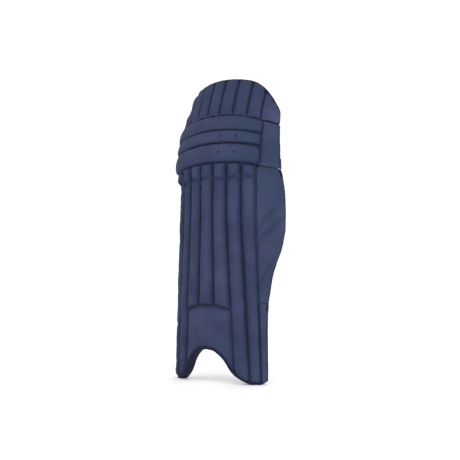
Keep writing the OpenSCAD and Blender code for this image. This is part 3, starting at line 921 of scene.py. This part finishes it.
def to_segment(u, s, ends):
    """Distance from points (u, s) to a line between two ends."""
    (u0, s0), (u1, s1) = ends
    du, ds = u1 - u0, s1 - s0
    t = np.clip(((u - u0) * du + (s - s0) * ds) / (du ** 2 + ds ** 2), 0, 1)
    return np.hypot(u - u0 - t * du, s - s0 - t * ds)


def wing_shape(u, s):
    """Swell of the wing between its edges and quilting rows, and the distance to a row."""
    rows = np.minimum.reduce([to_segment(u, s, q) for q in QUILT])
    edge = np.minimum(u - HALF_W - 1, outer_edge(s) - u)
    edge = np.minimum(edge, (s - WING_S) * 0.8)
    quilted = 1 - 0.75 * np.exp(-(rows / 7) ** 2)
    shape = (0.25 + 0.75 * rounded(edge, 16)) * quilted
    shape = shape * step_up(S1 - s - room(u, S1, 0) - 2, 14)
    return shape, np.minimum(rows + 1.5, edge + 1)


def wing():
    a = u_steps(30)
    rows = s_steps(110)
    u0 = HALF_W + 3 * GAP
    for name, front_d, back_d, quilt, nodes, material, slot in (
            ("wing_cover_cloth", 2.2, -BOARD_T, True, ["wing_cover", "wing_foam"], SIDE_CLOTH,
             "cover"),
            ("wing_lining_cloth", -BOARD_T - 0.1, LINING_D, False, ["wing_lining"], LINING,
             "lining")):
        reach = mix(u0, WING_TOP_U, a)
        under = S1 - room(reach, S1, back_d)
        lip = S1 - 0.1 - room(reach, S1, 0) * (1 - step_up(reach - SIDE_U, 3))
        s = mix(WING_S + GAP, lip if quilt else under, rows)
        u = mix(u0, outer_edge(s) - EDGE_W * 0.6, a)
        if quilt:
            shape, off = wing_shape(u, s)
            front = front_d - 0.8 + 6.0 * shape * SLACK + 1.6 * noise(u / 34, s / 48, 90) * shape
            front = front + puckers(s + u, off, 91, 1.0, 8, 8) * step_up(S1 - s - 12, 12)
            back = mix(back_d, 0.3, step_up(s - under + 3, 2))
            back = mix(-2.5, back, step_up(s - WING_S - 1.5, 2))
            # The wing darkens along its quilting rows: seam plus painted shade.
            obj = slab(name, u, s, np.maximum(front, back + 1.1), back, seam_of(off, 6) * 0.7)
            inflate_later(obj, (off < 4) | (s > S1 - 22), 3.0)
        else:
            soft = lining_quilt(u, s)
            back = back_d + 1.4 - 2.0 * soft + 0.5 * noise(u / 30, s / 30, 92)
            obj = slab(name, u, s, front_d, back, 1 - soft)
        later(obj, "wing", material, slot, nodes, 0.5, 1 if quilt else 0)


def wing_gussets():
    """Cloth that joins the wing to the shin, outside and on the leg side."""
    for name, lo, hi, front, back, material in (
            ("wing_seam_cloth", HALF_W - 4, HALF_W + 8, 1.9, 0.9, SIDE_CLOTH),
            ("wing_seam_lining", HALF_W - 6, HALF_W + 8, LINING_D - 0.1, LINING_D - 1.1, LINING)):
        u = np.linspace(lo, hi, 17)[:, None]
        s = np.linspace(WING_S + 1, S1 - (18 if front < 0 else 6), 100)[None, :] + 0 * u
        dip = 0.5 * np.exp(-((u - HALF_W) / 1.5) ** 2) + 0.3 * noise(s / 8, u / 6, 95)
        # The gusset cloth is darkened throughout as painted shade in the seam line between wing and
        # shin.
        obj = slab(name, u + 0 * s, s, front - dip, back - dip, 0.6)
        d = 0 if front > 0 else LINING_D
        start, end = metres(surf(HALF_W - 1, 400, d)), metres(surf(HALF_W + 4, 400, d))
        end[2] = start[2]
        place(obj, ("shin", "wing", start, end), material,
              "cover" if front > 0 else "lining")


# ---- Knee section ----

KNEE = {"knee_lower": (S1, S2), "knee_middle": (S2, S3), "knee_upper": (S3, S4)}
EYELET_US = [PITCH, 2 * PITCH]


def seam_depth(s, u):
    """Depth of the seam at the bottom of a knee groove; the grooves fade to the inner side."""
    middle, inner = {S1: (7, 17), S2: (9.5, 20), S3: (10.5, 20), S4: (7.5, 18)}[s]
    return mix(middle, inner, step_up(-u - 35, 75))


def roll_ends(u):
    """A roll is lower at its outer seam and closes at its inner end."""
    outer = 0.5 + 0.5 * rounded(SIDE_U - u, 18)
    return outer * (0.45 + 0.55 * rounded(ROLL_IN + u, 10))


def roll(body, lo, hi):
    puff = ROLL_PUFF * (1.15 if body == "knee_lower" else 1)
    u = np.linspace(-ROLL_IN, SIDE_U, 78)[:, None]
    top = hi - room(u, hi, 0)
    b = s_steps(max(12, round((hi - lo) / 2.7)))
    s = mix(lo + GAP, top, b)
    inner = INNER_PUFF * np.clip((-u - FLANK_U / 2) / FLANK_U * 2, 0, 1)
    crest = SEAM_D + 2 + (puff + inner) * (0.5 + 0.5 * SLACK)
    low = mix(seam_depth(lo, u), seam_depth(hi, u), b)
    off = np.minimum(b, 1 - b) * (hi - lo)
    front = (low + (crest - low) * swell(b, 0.6)) * roll_ends(u)
    front = front + 0.6 * noise(u / 30, s / 24, len(body)) * swell(b)
    front = front + puckers(u, off, 100 + len(body), 0.8, 9, 7)
    if body != "knee_upper":
        for e in EYELET_US:
            r = np.hypot(u - e, s - (lo + hi) / 2)
            front = front - 1.0 * np.exp(-(r / 3.6) ** 2)
    # Painted groove shade: darker along the roll's seams, fainter on the upper roll and towards the
    # inner side where the grooves are shallow, and at the outer seam.
    faint = 0.45 if body == "knee_upper" else 0.8
    faint = mix(faint, 1, step_up(hi - s - 8, 4)) if body == "knee_middle" else faint
    seam = seam_of(off, 6) * faint * (1 - 0.75 * step_up(-u - 20, 80))
    seam = np.maximum(seam, seam_of(SIDE_U - u, 5))
    obj = slab(f"{body}_roll_skin", u, s, np.maximum(front, 1), -2.0, seam)
    pinned = swell(b) * roll_ends(u) < 0.5
    if body != "knee_upper":
        for e in EYELET_US:
            pinned = pinned | (np.hypot(u - e, s - (lo + hi) / 2) < 3)
    inflate_later(obj, pinned, 2.0)
    later(obj, body, COVER, "cover", [f"{body}_roll", f"{body}_core"], 0.9, 1)


def groove(s, below, above, bodies, u_out):
    """Cloth at the bottom of a knee groove, reaching below it by the hinge's clearance."""
    u = np.linspace(-ROLL_IN + 1, u_out, 90)[:, None]
    reach = room(u, s, 0)
    t = s_steps(12)
    rows = mix(s - reach - below, s + above, t)
    depth = (seam_depth(s, u) - 2.4) * roll_ends(u) - 0.4 * swell(t)
    depth = np.maximum(depth, 1.3) + 0.2 * noise(u / 5, rows / 5, 110)
    depth = mix(depth, -0.3, step_up(u - SIDE_U + 1, 2))
    # The groove cloth is darkened throughout as painted shade at the bottom of the groove.
    obj = slab(f"{bodies[1]}_groove_cloth", u + 0 * rows, rows, depth, depth - 1.2, 0.9)
    place(obj, (*bodies, *knee_zone(s, 4, 1)), COVER, "cover")


def knee():
    for body, (lo, hi) in KNEE.items():
        roll(body, lo, hi)
    chain = ["shin", *KNEE, "top_hat"]
    for i, s in enumerate((S1, S2, S3, S4)):
        u_out = {S1: HALF_W, S4: SIDE_HIGH - 2}.get(s, SIDE_U - 1)
        groove(s, 6, 6, (chain[i], chain[i + 1]), u_out)
    side_panels()
    knee_lining(chain)
    knee_cup()


def side_edge(s):
    """The side panel narrows upwards, from the wing's edge to the top hat's."""
    return mix(SIDE_LOW, SIDE_HIGH, np.clip((s - S1) / (S4 - S1), 0, 1))


def side_panels():
    """The panel beside the rolls: one cloth, in two lengths that meet on the middle roll."""
    mid = (S2 + S3) / 2
    for name, lo, hi, joint, bodies, nodes in (
            ("knee_side_panel_low", S1 + 0.1, mid, S2, ("knee_lower", "knee_middle"),
             ["knee_lower_side", "knee_middle_side"]),
            ("knee_side_panel_high", mid, S4, S3, ("knee_middle", "knee_upper"),
             ["knee_upper_side"])):
        a = u_steps(26)
        top = hi - (GAP if hi == S4 else 0)
        s = mix(lo, top, s_steps(40))
        u = mix(SIDE_U + GAP, side_edge(s), a)
        edge = np.minimum(a, 1 - a) * (SIDE_EDGE - SIDE_U)
        seam = seam_of(edge - 3.5, 3)
        front = 1.6 + 4.6 * rounded(edge, 13) - 0.9 * np.exp(-((edge - 3.5) / 1.3) ** 2)
        front = front - 0.8 * np.exp(-((s - joint) / 3) ** 2) * rounded(edge, 10)
        front = front + 1.0 * noise(u / 26, s / 30, 120) + puckers(s, edge, 121, 0.9, 7, 7)
        if lo < S2:
            back = mix(3.0, -BOARD_T, step_up(s - S1 - room(u, S1, 0) - 2, 2))
            front = front * (0.6 + 0.4 * rounded(s - lo, 8))
        else:
            back = mix(-BOARD_T, 0.4, step_up(s - S4 + room(u, S4, -BOARD_T) + 3, 2))
            front = mix(2.3, front, step_up(top - s - room(u, S4, 0) - 1, 7))
        zone = (*bodies, *knee_zone(joint, 5, 3))
        place(slab(name, u, s, np.maximum(front, back + 1.5), back, seam), zone, SIDE_CLOTH,
              "cover", nodes, 0.5)
        path = [(SIDE_U + 4, x, 2.6) for x in np.linspace(lo + 3, hi - 1, 40)]
        far = [(float(side_edge(x)) - 4, x, 2.6) for x in np.linspace(lo + 10, hi - 14, 40)]
        place(thread(name + "_stitches", [path, far]), zone, THREAD, "binding")


def knee_lining(chain):
    """Lining behind the knee, in lengths that each span one hinge."""
    cuts = [S1 - 3] + [(lo + hi) / 2 for lo, hi in KNEE.values()] + [S4 + 3]
    nodes = [[], ["knee_lower_backing"], ["knee_middle_backing"], ["knee_upper_backing"]]
    for i, joint in enumerate((S1, S2, S3, S4)):
        a = u_steps(120)
        lo, hi = cuts[i], cuts[i + 1]
        if i == 0:
            lo = lo - room(mix(-ROLL_IN, SIDE_EDGE, a), S1, LINING_D)
        s = mix(lo, hi, s_steps(14)) + 0 * a
        u = mix(-ROLL_IN + 2, side_edge(s) - 0.6, a)
        soft = lining_quilt(u, s, *QUILT_KNEE)
        fold = np.exp(-((s - joint) / 4) ** 2)
        root = np.exp(-((s - STRAPS["knee"]) / 18) ** 2) * step_up(u - 125, 10)
        back = -BOARD_T - 0.9 - 1.1 * soft * (1 - fold) * (1 - root) + 0.5 * root
        name = f"{chain[i + 1]}_lining_cloth"
        front = mix(-BOARD_T - 0.1, -1.5, np.exp(-((u + ROLL_IN) / 3) ** 2))
        obj = slab(name, u + 0 * s, s, front + 0 * s, back, 1 - soft)
        place(obj, (chain[i], chain[i + 1], *knee_zone(joint, 7, 2)), LINING, "lining", nodes[i],
              0.3)


def knee_cup():
    a = u_steps(40)
    u = mix(-58, 58, a)
    hi = S3 - 1 - room(u, S3, -BOARD_T - 12)
    s = mix(S2 + 2, hi, s_steps(16))
    b = (s - S2 - 2) / (hi - S2 - 2)
    back = LINING_D - 1 - 9 * SLACK * swell(a, 0.4) * swell(b, 0.5)
    back = back + puckers(u, np.minimum(b, 1 - b) * 28, 130, 0.8) + 0.8 * np.exp(-(u / 2) ** 2)
    obj = slab("knee_cup_cloth", u, s, back, LINING_D + 0.8,
               seam_of(np.minimum(b, 1 - b) * 28, 5))
    inflate_later(obj, swell(a, 0.4) * swell(b, 0.5) < 0.4, 2.0)
    later(obj, "knee_middle", LINING, "lining", ["knee_cup"], 0.9, 1)


def ring(centre, out, up, radius, tube):
    """A small sewn ring, as rings of points for a sweep."""
    side = np.cross(up, out)
    rings = []
    for a in np.linspace(0, 2 * np.pi, 20, endpoint=False):
        radial = side * np.cos(a) + up * np.sin(a)
        rings.append([centre + radial * (radius + tube * math.cos(b)) + out * tube * math.sin(b)
                      for b in np.linspace(0, 2 * np.pi, 8, endpoint=False)])
    return rings


def eyelets():
    """Vent eyelets: a sewn ring round a flat disc of the dark eyelet thread, painted shade standing in
    for the hole, set on the finished rolls.
    """
    for body in ("knee_lower", "knee_middle"):
        s = sum(KNEE[body]) / 2
        made = []
        for i, u in enumerate(EYELET_US):
            depth = depth_on(bpy.data.objects[f"{body}_roll_skin"], u, s, ROLL_PUFF)
            centre = surf(u, s, depth)
            out = surf(u, s, depth + 1) - centre
            up = surf(u, s + 1, depth) - centre
            up /= np.linalg.norm(up)
            made.append(sweep(f"ring_{i}", ring(centre + out * 0.2, out, up, 2.2, 0.6),
                              closed=True))
            # The disc across the ring is painted shade in place of an open hole.
            turns = np.linspace(0, 2 * np.pi, 12, endpoint=False)
            cap = [[centre + out * rise + (np.cross(up, out) * math.cos(b) + up * math.sin(b)) * 1.8
                    for b in turns] for rise in (-0.1, 0.1)]
            made.append(sweep(f"hole_{i}", cap, seam=1.0))
        place(joined(f"{body}_eyelet_rings", made), body, EYELET, "eyelet_metal",
              [f"{body}_eyelets"])


# ---- Top hat ----


def hat_channel(k):
    mid = (k - (CHANNEL_N + 1) / 2) * PITCH
    t = u_steps(13)
    u = mid + (t - 0.5) * (PITCH - GAP)
    lo, hi = S4 + 2 * GAP, hat_down(u, EDGE_W)
    s = mix(lo, hi, s_steps(30))
    hem = 1 - 0.5 * np.exp(-((s - lo - 7) / 2.2) ** 2)
    ends = (0.6 + 0.4 * rounded(s - lo, 7)) * (0.35 + 0.65 * rounded(hi - s, 14))
    front = SEAM_D + (2 + HAT_PUFF * SLACK) * swell(t, 0.7) * ends * hem
    front = front + 2.0 * np.exp(-((s - lo) / 12) ** 2)
    front = front + 0.9 * noise(s / 30, u / 30, 140 + k) * swell(t)
    front = front + puckers(s, t * PITCH, 150 + k) + puckers(s, (1 - t) * PITCH, 160 + k)
    front = front + puckers(u, s - lo - 7, 170 + k, 0.7, 6, 6)
    seam = np.maximum(seam_of(t * PITCH, 6), seam_of((1 - t) * PITCH, 6))
    seam = seam * (1 - 0.6 * step_up(-u - 20, 60))
    seam = np.maximum(seam, np.maximum(seam_of(s - lo - 7, 3) * 0.5, seam_of(hi - s, 5)))
    obj = slab(f"top_hat_channel_{k}_skin", u, s, np.maximum(front, 1), GAP,
               seam)
    inflate_later(obj, swell(t) * ends * hem < 0.45, 2.4)
    later(obj, "top_hat", COVER, "cover", [f"top_hat_channel_{k}"], 0.8, 1)


def hat_flange(side):
    name = f"top_hat_flange_{SIDES[side]}"
    a = u_steps(20)
    v = mix(HALF_W, HAT_EDGE_U - 0.6, a)
    lo, hi = S4 + GAP, hat_down(v, EDGE_W)
    s = mix(lo, hi, s_steps(26))
    puff = 3.5 if side > 0 else HAT_PUFF + INNER_PUFF
    edge = np.minimum(s - lo, hi - s)
    ends = (0.3 + 0.7 * rounded(hi - s, 16)) * (0.8 + 0.2 * rounded(s - lo, 8))
    shape = swell(np.clip((v - HALF_W) / 60, 0, 1), 0.6) * ends
    front = SEAM_D + (1.6 + puff * SLACK) * shape + 1.2 * noise(v / 24, s / 24, 180 + side) * shape
    front = front + puckers(s, (v - HALF_W), 185, 0.8)
    back = -HAT_T + 0.2
    if side > 0:
        back = mix(3.2, back, step_up(s - S4 - room(v, S4, 0) - 2, 2))
    obj = slab(name + "_skin", side * v, s, np.maximum(front, np.maximum(back + 1.5, 1)),
               back, np.maximum(seam_of(v - HALF_W, 5), seam_of(edge, 4)))
    inflate_later(obj, (shape < 0.35) | (a > 0.93), 2.6)
    later(obj, "top_hat", COVER if side < 0 else SIDE_CLOTH, "cover", [name], 0.6, 1)


def hem_line(s):
    """The hem's stitch row, laid on the finished channels; its pale thread paints the highlight along
    the hem.
    """
    row = []
    for u in np.linspace(-HALF_W + 5, HALF_W - 4, 150):
        k = int(np.clip((u + HALF_W) // PITCH, 0, CHANNEL_N - 1)) + 1
        skin = bpy.data.objects[f"top_hat_channel_{k}_skin"]
        row.append((u, s, depth_on(skin, u, s, SEAM_D)))
    return row


def depth_on(skin, u, s, otherwise):
    """Depth of a finished piece's front at (u, s)."""
    base = surf(u, s, 0)
    out = surf(u, s, 1) - base
    hit = skin.ray_cast(Vector(metres(base + out * 40)), Vector(-out))
    return float(np.dot(np.array(hit[1]) / MM - base, out)) if hit[0] else otherwise


def top_hat():
    for k in range(1, CHANNEL_N + 1):
        hat_channel(k)
    hat_flange(-1)
    hat_flange(1)


def hat_lining(name, u, s, nodes=()):
    soft = lining_quilt(u, s - S4, *QUILT_KNEE)
    lining = slab(name, u, s, -HAT_T - 0.1, HAT_BACK + 1.0 - 1.3 * soft, 1 - soft)
    place(lining, "top_hat", LINING, "lining", nodes, 0.3)


def top_hat_board():
    u = np.linspace(-HALF_W, HALF_W, 84)[:, None]
    lo, hi = S4 + GAP, hat_down(u, EDGE_W)
    s = mix(lo, hi, s_steps(26))
    board = slab("top_hat_board_cloth", u, s, GAP / 2, -HAT_T)
    place(board, "top_hat", COVER, "foam", ["top_hat_shell"], 0.3)
    hat_lining("top_hat_lining_quilt", u, s, ["top_hat_lining"])
    for side in (-1, 1):
        v = np.linspace(HALF_W, HAT_EDGE_U - 1, 30)[:, None]
        lo, hi = S4 + 5 + room(v, S4, 0), hat_down(v, EDGE_W)
        s = mix(lo, hi, s_steps(24))
        hat_lining(f"top_hat_flange_lining_{SIDES[side]}", side * v, s)
    hem_s = S4 + 2 * GAP + 7
    # The pale hem stitches carry a painted highlight line.
    place(thread("top_hat_hem_stitches", [hem_line(hem_s)], pitch=5.2, length=3.8, radius=0.55),
          "top_hat", HEM_HIGHLIGHT_THREAD, "binding")


# ---- Straps ----


def bezier(p, q, r, t, xs):
    x = np.asarray(xs, float)[:, None]
    return (p * (1 - x) ** 3 + q * 3 * x * (1 - x) ** 2 + r * 3 * x ** 2 * (1 - x) + t * x ** 3)


def strap_root(which):
    """Place across of a strap's root, at the pad's outer edge."""
    return SIDE_EDGE if which == "knee" else float(table(OUTER)(STRAPS[which]))


def strap_loop(which, lo, hi, count):
    """Plan points of a strap's route: 0 is its root, 1 the back of the leg, 2 the inner edge."""
    s = STRAPS[which]
    root_u = strap_root(which)
    p = np.array(plan(root_u + 3.6, s, WEB_D), float)
    q = np.array(plan(-EDGE_U - 1, s, WEB_D), float)
    b = float(turn(EDGE_U))
    m = np.array(LOOP_BACK[which], float)
    out = np.array([-0.6, 0.8])
    xs = np.linspace(lo, hi, count)
    first = bezier(p, p + out * 30, m + [52, 0], m, np.clip(xs, 0, 1))
    second = bezier(m, m - [64, 0], q + np.array([-math.cos(b), math.sin(b)]) * 48, q,
                    np.clip(xs - 1, 0, 1))
    return np.where((xs <= 1)[:, None], first, second)


def ribbon(name, path, s, width, lo, hi, waves=0.0):
    """Webbing along a plan path, with rolled edges."""
    path = np.asarray(path, float)
    step = heading(path)
    side = np.stack([step[:, 1], -step[:, 0]], -1)
    half, mid, thick = width / 2, (lo + hi) / 2, (hi - lo) / 2
    section = [(-half, 0.0), (-half + 0.5, 0.8), (-half + 2.2, 1.0), (0, 0.9), (half - 2.2, 1.0),
               (half - 0.5, 0.8), (half, 0.0), (half - 0.5, -0.8), (half - 2.2, -1.0), (0, -0.9),
               (-half + 2.2, -1.0), (-half + 0.5, -0.8)]
    run = run_along(path)
    rings = []
    for e, d in section:
        wavy = waves * noise(run / 30, e / 20, 200)
        p = path + side * (mid + d * thick + wavy)[:, None]
        rings.append(level(p[:, 0], p[:, 1], np.full(len(p), s + e)))
    return sweep(name, np.stack(rings, 1))


def strap(which, parent, body):
    s, width = STRAPS[which], STRAP_W[which]
    root_u = strap_root(which)
    end = 1 + 9 / LOOP_PARTS
    patch = 1 + 2 / LOOP_PARTS
    place(ribbon(f"{which}_strap_web", strap_loop(which, 0.02, end, 110), s, width, 0.2,
                 0.2 + WEB_T), body, WEBBING, "webbing", [f"{which}_strap"])
    place(ribbon(f"{which}_strap_hooks", strap_loop(which, patch, end - 0.01, 30), s, width - 6,
                 -1.2, -0.1), body, HOOK, "hook_fabric", [f"{which}_strap_hook"])
    sewn = np.array([plan(u, s, WEB_D) for u in np.linspace(-EDGE_U + 2, -HALF_W + 4, 8)])
    tab = np.concatenate([strap_loop(which, 1 + 1 / LOOP_PARTS, 2, 60), sewn])
    home = {"ankle": "shin", "calf": "shin", "knee": "knee_lower"}[which]
    place(ribbon(f"{which}_tab_web", tab, s, width, -1.6 - WEB_T, -2.6), home, WEBBING,
          "webbing", [f"{which}_tab"])
    place(ribbon(f"{which}_tab_loops", strap_loop(which, 1 + 1.5 / LOOP_PARTS, 1.9, 50), s, width - 5,
                 -2.7, -1.5), home, LOOP, "loop_fabric")
    inner = HALF_W + 3 if which == "ankle" else root_u - 26
    anchor = np.array([plan(u, s, WEB_D) for u in np.linspace(inner, root_u - 3, 14)])
    place(ribbon(f"{which}_strap_anchor_web", anchor, s, width, -WEB_T / 2, WEB_T / 2), parent,
          WEBBING, "webbing", [f"{which}_strap_anchor"])
    joint = next(j for j in frame["joints"] if j["child"] == body)
    pivot = np.array(joint["pos_m"])
    near = np.array([plan(u, s, WEB_D + 0.3) for u in np.linspace(root_u - 12, root_u - 1, 10)])
    far = strap_loop(which, 0.0, 0.16, 14)
    way = far[6] - near[4]
    way = np.array([way[0], way[1], 0]) / np.linalg.norm(way)
    root = ribbon(f"{which}_strap_root", np.concatenate([near, far]), s, width - 0.6, 0.1,
                  0.1 + WEB_T * 0.8)
    place(root, (parent, body, (pivot - way * 0.0025).tolist(), (pivot + way * 0.0025).tolist()),
          WEBBING, "webbing")


def straps():
    strap("ankle", "shin", "strap_ankle")
    strap("calf", "wing", "strap_calf")
    strap("knee", "knee_lower", "strap_knee")


# ---- Stage ----

CAMERA_AT = (0.8999, -1.2953, 0.182)
CAMERA_AZIMUTH = 36.5
CAMERA_PITCH = 6.0
CAMERA_ROLL = 0.41
CAMERA_LENS = 52.43
CAMERA_SHIFT = 0.05


def area_light(name, at, towards, size, power):
    data = bpy.data.lights.new(name, "AREA")
    data.energy = power
    data.size = size
    obj = bpy.data.objects.new(name, data)
    obj.location = at
    obj.rotation_euler = (Vector(towards) - Vector(at)).to_track_quat("-Z", "Y").to_euler()
    bpy.context.scene.collection.objects.link(obj)


def stage():
    n = Nodes("floor")
    where = n.add("TexCoord").outputs["Object"]
    soft = n.noise(where, 3.0)
    color = n.mix(n.math("MULTIPLY", soft, 0.5), linear(246, 246, 246), linear(240, 240, 240))
    floor_material = n.finish(color, n.math("ADD", 0.8, n.math("MULTIPLY", soft, 0.1)), soft, 0.1,
                              0.0005)
    mesh = bpy.data.meshes.new("floor")
    r = 60
    mesh.from_pydata([(-r, -r, 0), (r, -r, 0), (r, r, 0), (-r, r, 0)], [], [(0, 1, 2, 3)])
    mesh.materials.append(floor_material)
    floor = bpy.data.objects.new("floor", mesh)
    floor.location.z = -0.0005
    bpy.context.scene.collection.objects.link(floor)
    world = bpy.data.worlds.new("studio")
    world.use_nodes = True
    world.node_tree.nodes["Background"].inputs[0].default_value = (1, 1, 1, 1)
    world.node_tree.nodes["Background"].inputs[1].default_value = 1.12
    bpy.context.scene.world = world
    middle = (0, 0, 0.4)
    area_light("key", (2.1, -1.7, 0.9), middle, 1.2, 34)
    area_light("fill", (0.4, -2.4, 1.7), middle, 1.6, 10)
    area_light("back", (-1.2, 2.2, 1.6), middle, 1.5, 14)
    data = bpy.data.cameras.new("camera")
    data.lens = CAMERA_LENS
    data.sensor_width = 36
    data.shift_x = CAMERA_SHIFT
    camera = bpy.data.objects.new("camera", data)
    a, e = math.radians(CAMERA_AZIMUTH), math.radians(CAMERA_PITCH)
    look = Vector((-math.sin(a) * math.cos(e), math.cos(a) * math.cos(e), math.sin(e)))
    turned = look.to_track_quat("-Z", "Y").to_matrix().to_4x4()
    roll_by = Matrix.Rotation(math.radians(CAMERA_ROLL), 4, "Z")
    camera.matrix_world = Matrix.Translation(CAMERA_AT) @ turned @ roll_by
    bpy.context.scene.collection.objects.link(camera)
    bpy.context.scene.camera = camera
    bpy.context.scene.view_settings.view_transform = "Standard"


# ---- The pad ----

stage()
shin_front()
instep_panel()
side_strips()
bolsters()
wing()
knee()
top_hat()
inflate_all()
for piece, args, kwargs in to_place:
    place(piece, *args, **kwargs)
top_hat_board()
place(shin_board(), "shin", COVER, "foam", ["shin_shell"], 0.3)
place(shin_lining(), "shin", LINING, "lining", ["shin_lining"], 0.3)
strip_linings()
wing_gussets()
bindings()
eyelets()
straps()
canes = frame["nodes"]["shin_canes"]
canes.data.materials.clear()
canes.data.materials.append(CANE)
